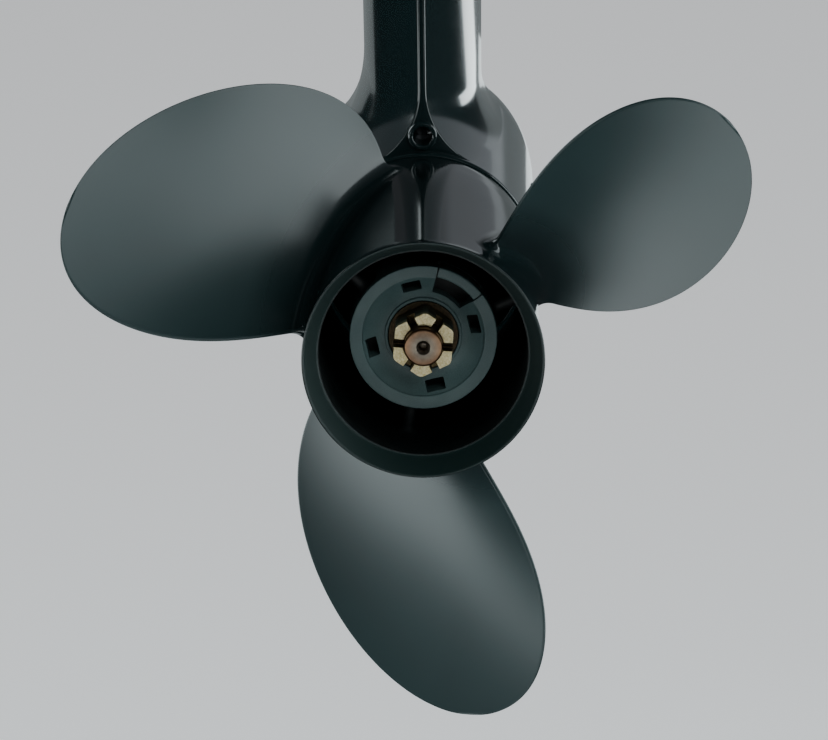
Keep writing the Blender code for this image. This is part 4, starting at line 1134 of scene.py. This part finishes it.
def tail_columns(points, corner):
    """Add the flat rear face and its rounded edge to rows that run forward from the tail.

    The edge is the curve (1-t)²A + 2t(1-t)P + t²B from the flat face to the side.
    """
    tail = points[:, :1]
    onward = points[:, 1:2] - tail
    finish = tail + onward / np.linalg.norm(onward, axis=-1, keepdims=True) * corner
    inner = tail.copy()
    inner[..., 0] = np.maximum(tail[..., 0] - corner * 0.9, tail[..., 0] * 0.3)
    t = np.linspace(0.0, 1.0, 9)[None, :, None]
    edge = (1 - t) ** 2 * inner + 2 * t * (1 - t) * tail + t ** 2 * finish
    middle = inner * np.array([0.0, 1.0, 1.0])
    face = middle + (inner - middle) * np.linspace(0.0, 1.0, 6)[None, :-1, None]
    return np.concatenate([face, edge, points[:, 2:]], axis=1)


def leg_half(ball_sizes):
    """Starboard half of the leg with a hollow foot rolled onto the bullet.

    Rows run from the plate down the side and then along the arc (d, z) = (r(1 - cos a),
    c - r sin a) to where the ball touches the bullet. Ahead of the thickest place the arc leans
    with the side's normal, and aft it stays square to the shaft, so the tail ends in one flat
    face whose edges spread as they near the bullet.
    """
    side, forward = leg_stations(np.array([[FOOT_TOP]]))
    side, forward = side[0], forward[0]
    slope = np.gradient(side) / np.gradient(forward)
    lean = np.clip((forward - LEG_REAR) / (LEG_FRONT - LEG_REAR), 0.0, 1.0)
    turn_forward = -slope * np.clip((lean - 0.45) / 0.35, 0.0, 1.0)
    turn_side = 1.0 / np.hypot(1.0, turn_forward)
    turn_forward = turn_forward * turn_side
    turn_side[-1], turn_forward[-1] = 0.0, 1.0
    ball = np.interp(lean, FOOT_BALL_SHARES, ball_sizes)
    centre, last = rolled_foot(side, forward, turn_side, turn_forward, ball)
    top = PLATE_BOTTOM - PLATE_FILLET
    height = top + (centre - top) * np.linspace(0.0, 1.0, 40)[:, None]
    upper_side, upper_forward = leg_stations(height)
    arc = last * np.linspace(0.0, 1.0, 44)[1:, None]
    out = ball * (1.0 - np.cos(arc))
    foot_side = upper_side[-1] + turn_side * out
    foot_forward = upper_forward[-1] + turn_forward * out
    foot = world(foot_side, foot_forward, centre - ball * np.sin(arc) - 0.00005)
    under = foot[-1:] - np.array([0.0, 0.0, 0.0030])
    half = np.concatenate([world(upper_side, upper_forward, height), foot, under], axis=0)
    return tail_columns(half, LEG_TAIL_CORNER)


def add_leg():
    """Lower leg: streamlined, with a flat narrow tail and a foot that spreads wider to port."""
    loops = both_sides(leg_half(STARBOARD_FOOT_BALLS), leg_half(PORT_FOOT_BALLS))
    normal_side, normal_forward = loop_normals(loops[:1, :, 0], loops[:1, :, 1])
    bend = np.linspace(np.pi / 2, 0.0, 9)[:-1, None]
    grow = PLATE_FILLET * (1.0 - np.cos(bend))
    head = np.repeat(loops[:1], len(bend), axis=0)
    head[..., 0] += normal_side * grow
    head[..., 1] += normal_forward * grow
    head[..., 2] += PLATE_FILLET * np.sin(bend)
    leg = add_grid("cast_lower_leg", np.concatenate([head, loops], axis=0), sharp=50.0)
    seat = BOSS_RADIUS - 0.0010
    rear, front = 0.170, 0.200
    outline = ((0.0, front), (seat, front), (seat, rear), (0.0, rear))
    hole = add_turned("boss_seat", outline, 96, on_boss)
    pockets = [add_inlet_box("pocket", sign) for sign in (1, -1)]
    dress(carve(leg, hole, *pockets), GEARCASE, "gearcase", "leg_lower")


def on_boss(across, up, along):
    """Place of a turned piece on the boss's axis."""
    return world(across, along, BOSS_HEIGHT + up)


def add_boss():
    """Drilled boss at the tail's foot, its rim rolled over between the face and the hole."""
    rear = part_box("tail_boss")[0][1] - RIM_Y
    corners = (
        (0.0, rear + BOSS_LENGTH, 0.0),
        (BOSS_RADIUS, rear + BOSS_LENGTH, 0.0),
        (BOSS_RADIUS, rear, 0.0014),
        (BOSS_BORE, rear, 0.0011),
        (BOSS_BORE, rear + BOSS_DEPTH, 0.0),
        (0.0, rear + BOSS_DEPTH + 0.0010, 0.0),
    )
    boss = add_turned("cast_tail_boss", rounded(corners, closed=False, steps=10), 96, on_boss)
    dress(boss, GEARCASE, "gearcase", "tail_boss")


def add_inlet_box(name, sign):
    """Box that stands across the leg's side where a water inlet sits."""
    side, forward, height = INLET_PLACE
    deep, long, tall = INLET_SIZE
    return add_box(name, (sign * side, height, forward), (deep, tall, long))


def add_inlets():
    """Slotted steel screens that follow the leg's side, one on each side.

    Each is a slab whose outer face is the leg's own side and whose inner face lies 2 mm in.
    """
    side, forward, height = INLET_PLACE
    play = 0.0004
    half_long, half_tall = INLET_SIZE[1] / 2 - play, INLET_SIZE[2] / 2 - play
    level = height + np.linspace(-half_tall, half_tall, 33)[:, None]
    ahead = forward + np.linspace(-half_long, half_long, 33)
    stations = zip(*leg_stations(level))
    skin = np.array([np.interp(ahead, at_forward, at_side) for at_side, at_forward in stations])
    for name, sign in (("starboard", 1.0), ("port", -1.0)):
        outer = world(sign * (skin + 0.0002), ahead, level)
        inner = world(sign * (skin - INLET_THICKNESS), ahead, level)
        loops = np.concatenate([outer, inner[:, ::-1]], axis=1)
        screen = add_grid("pressed_inlet_screen_" + name, loops)
        cutters = []
        for number in range(INLET_SLOTS):
            rise = (number - (INLET_SLOTS - 1) / 2) * INLET_SLOT_PITCH
            cutters.append(add_slot_cutter(sign * side, forward, height + rise))
        dress(carve(screen, *cutters), BRIGHT_STEEL, "gearcase", "water_inlet_" + name)


def add_slot_cutter(side, forward, height):
    """Round-ended slot through a screen, its length along the shaft."""
    turn = full_turn(32)
    straight = INLET_SLOT_LENGTH / 2 - INLET_SLOT_RADIUS
    ahead = forward + INLET_SLOT_RADIUS * np.cos(turn) + straight * np.sign(np.cos(turn) + 1e-9)
    up = height + INLET_SLOT_RADIUS * np.sin(turn)
    across = side + np.array([[-0.020], [0.020]])
    return add_grid("slot", world(across, ahead, up))


def add_carrier():
    """Bearing carrier in the exhaust bore, with its three ribs, and the shaft seal."""
    front = TORPEDO_REAR + EXHAUST_DEPTH - GAP
    bore = JOURNAL_RADIUS + 0.0005
    corners = (
        (EXHAUST_BORE - 0.0002, front, 0.0),
        (EXHAUST_BORE - 0.0002, front - CARRIER_FLANGE, 0.0010),
        (CARRIER_RADIUS, front - 0.0100, 0.0030),
        (CARRIER_RADIUS, CARRIER_REAR, 0.0020),
        (bore, CARRIER_REAR, 0.0006),
        (bore, front, 0.0),
    )
    pieces = [add_turned("carrier_ring", rounded(corners), 128)]
    centre = ((EXHAUST_BORE + CARRIER_RADIUS - 0.0060) / 2, 0.0, front - 0.0240)
    size = (EXHAUST_BORE - CARRIER_RADIUS + 0.0056, 0.0060, CARRIER_RIB_LENGTH)
    for number in range(3):
        pieces.append(add_box("rib", centre, size, np.radians(90.0 + 120.0 * number), 0.0012))
    # The carrier takes the near-black finish: soot, and painted shade deep in the bore.
    dress(join("cast_bearing_carrier", *pieces), SOOT_AND_SHADE, "gearcase", "bearing_carrier")
    front = CARRIER_REAR - GAP
    seal = (
        (SHAFT_SEAL_RADIUS, front, 0.0002),
        (SHAFT_SEAL_RADIUS, SHAFT_SEAL_REAR, 0.0008),
        (bore + 0.0020, SHAFT_SEAL_REAR, 0.0006),
        (bore + 0.0015, SHAFT_SEAL_REAR + 0.0013, 0.0004),
        (bore, SHAFT_SEAL_REAR + 0.0005, 0.0003),
        (bore, front, 0.0002),
    )
    dress(add_turned("lipped_shaft_seal", rounded(seal), 96), RUBBER, "gearcase", "shaft_seal")


def skeg_stations(depth, share):
    """Half width and length along the shaft of the skeg at depths below the shaft.

    Both edges turn in by R - sqrt(R² - d²) over the last R of the depth, which rounds the lower
    corners, and the thickness closes as sqrt(1 - e²) over the last 3 mm.
    """
    run = (depth - SKEG_TOP) / (SKEG_DEPTH - SKEG_TOP)
    into = np.clip(depth - (SKEG_DEPTH - SKEG_CORNER), 0.0, SKEG_CORNER)
    drawn_in = SKEG_CORNER - np.sqrt(SKEG_CORNER ** 2 - into ** 2)
    rear = SKEG_REAR[0] + SKEG_REAR[1] * run + drawn_in
    front = SKEG_FRONT[0] + SKEG_FRONT[1] * np.maximum(run, 0.0) ** SKEG_SWEEP_POWER - drawn_in
    closing = np.clip((depth - (SKEG_DEPTH - SKEG_TIP)) / SKEG_TIP, 0.0, 1.0)
    half = (SKEG_HALF_THICKNESS[0] + SKEG_HALF_THICKNESS[1] * run) * np.sqrt(1.0 - closing ** 2)
    edge = SKEG_EDGE * np.sqrt(1.0 - closing ** 2)
    return foil_half(share, half, edge, SKEG_THICKEST), front + (rear - front) * share


def add_skeg():
    """Skeg: a swept fin whose section thins towards its tip, with a fillet rolled onto the bullet.

    The section at the fillet goes by its depth, which goes by the section, so the ball's place is
    worked out three times over.
    """
    share = rear_to_front(60)
    centre = np.full_like(share, TORPEDO_RADIUS)
    balls = np.full_like(share, SKEG_FILLET)
    for _ in range(3):
        side, forward = skeg_stations(centre, share)
        slope = np.gradient(side) / np.gradient(forward)
        turn_side = 1.0 / np.hypot(1.0, slope)
        turn_forward = -slope * turn_side
        turn_side[0], turn_forward[0] = 1.0, 0.0
        turn_side[-1], turn_forward[-1] = 0.0, 1.0
        centre, last = rolled_foot(side, forward, turn_side, turn_forward, balls)
    side, forward = skeg_stations(centre, share)
    arc = last * np.linspace(1.0, 0.0, 20)[:-1, None]
    out = SKEG_FILLET * (1.0 - np.cos(arc))
    height = SKEG_FILLET * np.sin(arc) - centre
    foot = world(side + turn_side * out, forward + turn_forward * out, height)
    inside = foot[:1] + np.array([0.0, 0.0, 0.0030])
    down = np.sin(np.linspace(0.0, np.pi / 2, 90))[:, None]
    depth = centre + (SKEG_DEPTH - 0.00002 - centre) * down
    fin = world(*skeg_stations(depth, share), -depth)
    half = np.concatenate([inside, foot, fin], axis=0)
    skeg = add_grid("cast_skeg", both_sides(half), sharp=50.0)
    dress(skeg, GEARCASE, "gearcase", "skeg")


def bottle_outline(front, shoulder, waist, tail, front_half, rear_half):
    """Starboard half of a plan outline, from its tail to its nose, in world lengths.

    Both ends are round, and the half width passes from one value to the other between shoulder
    and waist along a half cosine wave.
    """
    forward = front + (tail - front) * rear_to_front(121)
    nose = np.clip((forward - shoulder) / (front - shoulder), 0.0, 1.0)
    end = np.clip((waist - forward) / (waist - tail), 0.0, 1.0)
    change = np.clip((shoulder - forward) / (shoulder - waist), 0.0, 1.0)
    half = front_half + (rear_half - front_half) * (1.0 - np.cos(np.pi * change)) / 2
    half = half * np.sqrt(1.0 - nose ** 2) * np.sqrt(1.0 - end ** 2)
    return np.stack([half, forward, np.zeros_like(half)], axis=-1)[None]


def add_slab(name, outline, bottom, top, rounding):
    """Flat casting with rounded edges, drawn in by r(1 - sin a) at a height of r(1 - cos a)."""
    loop = both_sides(outline)
    normal_side, normal_forward = loop_normals(loop[..., 0], loop[..., 1])
    bend = np.linspace(0.0, np.pi / 2, 8)
    climb = rounding * (1.0 - np.cos(bend))
    drawn_in = rounding * (1.0 - np.sin(bend))
    level = np.r_[bottom + climb, (top - climb)[::-1]][:, None]
    inset = np.r_[drawn_in, drawn_in[::-1]][:, None]
    side = loop[..., 0] - normal_side * inset
    forward = loop[..., 1] - normal_forward * inset
    edge = np.stack(np.broadcast_arrays(side, forward, SHAFT_Z + level), axis=-1)
    narrow = np.array([0.0, 0.4, 0.8])[:, None, None] * [1.0, 0.0, 0.0] + [0.0, 1.0, 1.0]
    points = np.concatenate([edge[:1] * narrow, edge, edge[-1:] * narrow[::-1]], axis=0)
    return add_mesh(name, points, grid_faces(*points.shape[:2], False, True).tolist())


def add_plate():
    """Anti-ventilation plate with its trim tab and the bolt that holds the tab."""
    outline = bottle_outline(*PLATE_PLAN)
    plate = add_slab("cast_anti_ventilation_plate", outline, PLATE_BOTTOM, PLATE_TOP, PLATE_EDGE)
    dress(plate, GEARCASE, "gearcase", "anti_ventilation_plate")
    share = rear_to_front(60)
    bend = np.linspace(0.0, np.pi / 2, 9)[:, None]
    drop = np.r_[[[0.0]], TAB_DEPTH - TAB_ROUND * (1.0 - np.sin(bend))]
    shrink = np.r_[[[0.0]], TAB_ROUND * (1.0 - np.cos(bend))]
    half = foil_half(share, TAB_HALF_THICKNESS - 0.9 * shrink, TAB_EDGE - 0.3 * shrink, 0.40)
    forward = TAB_LENGTH - shrink + (2 * shrink - TAB_LENGTH) * share
    tab = add_grid("cast_trim_tab", both_sides(world(half, forward, PLATE_BOTTOM - 0.0001 - drop)))
    dress(tab, ZINC, "gearcase", "trim_tab")
    add_hex_head("trim_tab_bolt", BOLT_FORWARD, PLATE_TOP + 0.0001, BOLT_HEIGHT, BOLT_CORNER)


def add_hex_head(node, forward, low, tall, corner):
    """Hexagonal bolt head with the radius f / cos a, its top corners trimmed by a chamfer cone."""
    turn = full_turn(96)
    flat = corner * np.cos(np.pi / 6)
    off_flat = np.abs(turn % (np.pi / 3) - np.pi / 6)
    hexagon = flat / np.cos(off_flat)
    levels = np.array([0.0, 0.0, tall - 0.0012, tall - 0.0003, tall, tall])[:, None]
    limit = np.array([0.0, corner, corner, flat + 0.0001, flat - 0.0004, 0.0])[:, None]
    radius = np.minimum(hexagon, limit)
    points = world(radius * np.cos(turn), forward + radius * np.sin(turn), low + levels + 0.0 * turn)
    head = add_mesh("forged_" + node, points, grid_faces(*points.shape[:2], False, True).tolist(), 25.0)
    dress(head, BRIGHT_STEEL, "gearcase", node)


def add_upper_leg():
    """Upper leg: streamlined, with a flat tail and a fillet at both of its ends.

    Its rear, front, thickness and tail width each change evenly from the plate to the flange.
    """
    bottom, top = PLATE_TOP, FLANGE_BOTTOM
    rise = np.linspace(0.0, 1.0, 31)[:, None]
    rear, front, spread, tail_half = (
        start + change * rise
        for start, change in (UPPER_LEG_REAR, UPPER_LEG_FRONT, UPPER_LEG_SPREAD, UPPER_LEG_TAIL_HALF)
    )
    share = rear_to_front(72)
    half = foil_half(share, LEG_HALF_THICKNESS + spread, tail_half, LEG_THICKEST)
    forward = LEG_FRONT + front + (LEG_REAR + rear - LEG_FRONT - front) * share
    points = world(half, forward, bottom + (top - bottom) * rise)
    loops = both_sides(tail_columns(points, UPPER_LEG_TAIL_CORNER))
    normal_side, normal_forward = loop_normals(loops[..., 0], loops[..., 1])
    for end in (bottom, top):
        grow = fillet_growth(PLATE_FILLET, np.abs(loops[..., 2] - SHAFT_Z - end))
        loops[..., 0] += normal_side * grow
        loops[..., 1] += normal_forward * grow
    leg = add_grid("cast_upper_leg", loops, sharp=50.0)
    wells = [add_well(*bore) for bore in FLANGE_BORES[:2]]
    dress(carve(leg, *wells, add_duct()), GEARCASE, "gearcase", "leg_upper")


def add_flange():
    """Mounting flange with its openings, and the driveshaft's seal."""
    outline = bottle_outline(*FLANGE_PLAN)
    flange = add_slab("machined_mounting_flange", outline, FLANGE_BOTTOM, FLANGE_TOP, FLANGE_EDGE)
    wells = [add_well(*bore) for bore in FLANGE_BORES]
    dress(carve(flange, *wells, add_duct()), GEARCASE, "gearcase", "mounting_flange")
    outer, inner = DRIVESHAFT_BORE - GAP, DRIVESHAFT_SEAL_BORE
    top, bottom = DRIVESHAFT_SEAL_TOP, DRIVESHAFT_SEAL_BOTTOM
    corners = (
        (outer, top, 0.0005),
        (outer, bottom, 0.0003),
        (inner, bottom, 0.0003),
        (inner, bottom + 0.0035, 0.0006),
        (inner + 0.0025, top - 0.0015, 0.0006),
        (inner + 0.0030, top, 0.0005),
    )
    place = upright_at(0.0, DRIVESHAFT_Y)
    seal = add_turned("lipped_driveshaft_seal", rounded(corners), 96, place)
    dress(seal, RUBBER, "gearcase", "driveshaft_seal")


def upright_at(side, forward):
    """How to place a turned piece on an upright axis, in world lengths."""

    def place(across, up, along):
        """Place of a turned piece on that axis."""
        return np.stack([side + across, forward + up, along], axis=-1)

    return place


def add_well(side, forward, radius):
    """Round cutter for a bore that goes down from the flange."""
    outline = ((0.0, WELL_TOP), (radius, WELL_TOP), (radius, WELL_BOTTOM), (0.0, WELL_BOTTOM))
    return add_turned("well", outline, 64, upright_at(side, forward))


def add_duct():
    """Cutter for the exhaust duct, a rectangle with round corners."""
    half, rear, front = DUCT_HALF_WIDTH, DUCT_REAR, DUCT_FRONT
    corners = ((half, rear), (half, front), (-half, front), (-half, rear))
    plan = rounded([(*corner, DUCT_CORNER) for corner in corners])
    level = np.array([[WELL_BOTTOM], [WELL_TOP]])
    return add_grid("duct", np.stack(np.broadcast_arrays(plan[:, 0], plan[:, 1], level), axis=-1))


add_blades()
add_barrel()
add_webs()
add_ring()
add_end_plate()
add_drive()
add_shaft()
add_nut()
add_pin()
add_torpedo()
add_plugs()
add_leg()
add_boss()
add_inlets()
add_carrier()
add_skeg()
add_plate()
add_upper_leg()
add_flange()


# Studio: floor, light and camera


MIDDLE = (0.0, RIM_Y + 0.05, SHAFT_Z)
FLOOR_REACH = 60.0
FLOOR_LEVEL = -1.0
NEUTRAL = "#ffffff"
COOL = "#f1fdff"


def add_floor():
    """Pale floor far below the gearcase, which leaves no image in the glossy surfaces."""
    corners = FLOOR_REACH * np.array(((-1.0, -1.0), (1.0, -1.0), (1.0, 1.0), (-1.0, 1.0)))
    mesh = bpy.data.meshes.new("studio_floor")
    mesh.from_pydata([(x, y, FLOOR_LEVEL) for x, y in corners], [], [(0, 1, 2, 3)])
    mesh.materials.append(make_floor_acrylic())
    floor = add_object("studio_floor", mesh)
    floor.visible_glossy = False


def add_panel(name, place, target, size, radiance, roll=0.0, colour=COOL, seen=True):
    """Rectangular soft light that faces a target; its power is pi x area x radiance.

    A panel that isn't seen lights the matt surfaces and leaves no image in the glossy ones.
    """
    lamp = bpy.data.lights.new(name, "AREA")
    lamp.shape = "RECTANGLE"
    lamp.size, lamp.size_y = size
    lamp.energy = np.pi * size[0] * size[1] * radiance
    lamp.color = linear(colour)[:3]
    light = add_object(name, lamp)
    facing = (Vector(target) - Vector(place)).to_track_quat("-Z", "Y").to_matrix().to_4x4()
    light.matrix_world = Matrix.Translation(place) @ facing @ Matrix.Rotation(np.radians(roll), 4, "Z")
    light.visible_glossy = seen


def add_world():
    """Room light, soft at the horizon and dark overhead and below it, dimmer on the port side.

    Seen directly, as a background, it is an even pale grey like the floor's.
    """
    room = bpy.data.worlds.new("studio_room")
    room.use_nodes = True
    tree = room.node_tree
    direction = add_node(tree, "TexCoord", output="Generated")
    rise = add_node(tree, "SeparateXYZ", [direction], "Z")
    lower = add_node(tree, "MapRange", (rise, -0.03, 0.0, 0.02, 0.27))
    upper = add_node(tree, "MapRange", (rise, 0.28, 0.75, 1.0, 0.12))
    level = add_node(tree, "Math", (lower, upper), operation="MULTIPLY")
    starboard = add_node(tree, "SeparateXYZ", [direction], "X")
    side = add_node(tree, "MapRange", (starboard, 0.03, 0.12, 0.30, 1.15))
    lit = add_node(tree, "Math", (level, side), operation="MULTIPLY")
    seen = add_node(tree, "LightPath", output="Is Camera Ray")
    strength = add_node(tree, "Mix", {"Factor": seen, "A": lit, "B": 0.62}, data_type="FLOAT")
    connect(tree.nodes["Background"], {"Color": "#dfe6ee", "Strength": strength})
    bpy.context.scene.world = room


# Pixel of the photograph at the hub's rim centre, and its scale there
RIM_PIXEL = (423.181, 360.308)
FRAME_SIZE = (828, 740)
PIXELS_PER_METRE = 2172.0
CAMERA_DISTANCE = 5.0
CAMERA_ELEVATION = 15.0
CAMERA_AZIMUTH = 0.334
CAMERA_ROLL = -0.682
SENSOR_WIDTH = 36.0


def add_camera():
    """Long lens from astern and above, at the photograph's angle."""
    elevation, azimuth, roll = np.radians((CAMERA_ELEVATION, CAMERA_AZIMUTH, CAMERA_ROLL))
    right = np.array([np.cos(azimuth), np.sin(azimuth), 0.0])
    level = np.array([-np.sin(azimuth), np.cos(azimuth), 0.0])
    ahead = level * np.cos(elevation) - np.array([0.0, 0.0, np.sin(elevation)])
    up = np.cross(right, ahead)
    right, up = right * np.cos(roll) + up * np.sin(roll), up * np.cos(roll) - right * np.sin(roll)
    focal = PIXELS_PER_METRE * CAMERA_DISTANCE
    across = (RIM_PIXEL[0] - FRAME_SIZE[0] / 2) / focal * CAMERA_DISTANCE
    above = -(RIM_PIXEL[1] - FRAME_SIZE[1] / 2) / focal * CAMERA_DISTANCE
    rim = np.array([0.0, RIM_Y, SHAFT_Z])
    place = rim - (across * right + above * up + CAMERA_DISTANCE * ahead)
    data = bpy.data.cameras.new("view_from_astern")
    data.sensor_width = SENSOR_WIDTH
    data.lens = focal / FRAME_SIZE[0] * SENSOR_WIDTH
    data.clip_end = 2.0 * FLOOR_REACH
    camera = add_object("view_from_astern", data)
    turn = Matrix((right, up, -ahead)).transposed()
    camera.matrix_world = Matrix.Translation(place) @ turn.to_4x4()
    bpy.context.scene.camera = camera


add_floor()
add_world()
add_panel("starboard_side", (1.60, -0.33, 0.26), (0.0, -0.25, 0.26), (1.10, 1.94), 3.2)
add_panel("starboard_ahead", (1.90, 0.85, 0.05), MIDDLE, (1.18, 1.08), 2.2)
add_panel("port_side", (-1.58, 0.0, 0.18), (0.0, -0.25, 0.18), (0.66, 2.06), 4.0)
add_panel("port_ahead", (-1.80, 1.01, 0.45), MIDDLE, (1.20, 1.50), 3.5)
add_panel("below", (-0.12, -0.18, -0.97), MIDDLE, (0.68, 0.56), 2.1)
add_panel("leg_wedge", (0.68, 1.50, -0.590), (0.02, 0.0, -0.20), (0.45, 0.11), 3.2, roll=-22.0)
add_panel("leg_band", (-0.22, 1.25, -0.60), (0.0, 0.0, -0.20), (0.60, 0.44), 0.22)
add_panel("foot_band", (0.13, 1.30, -0.66), (0.0, 0.0, -0.28), (0.30, 0.26), 1.2)
add_panel("foot_rim", (0.27, 1.35, -0.41), (0.05, -0.10, -0.27), (0.38, 0.46), 0.18)
add_panel("starboard_low", (1.25, -1.20, -0.60), (0.0, 0.0, -0.60), (2.30, 0.34), 2.6)
add_panel("port_low", (-1.25, -1.20, -0.60), (0.0, 0.0, -0.60), (2.30, 0.34), 3.0)
add_panel("astern_low", (0.0, -2.20, -0.895), MIDDLE, (1.60, 0.18), 3.2, colour=NEUTRAL)
add_panel("fill", (0.90, -2.60, 1.50), MIDDLE, (1.80, 1.80), 5.2, colour=NEUTRAL, seen=False)
add_panel("ground_light", (0.0, 3.0, 2.2), (0.0, 2.8, -1.0), (3.0, 3.0), 1.4, colour=NEUTRAL, seen=False)
add_camera()
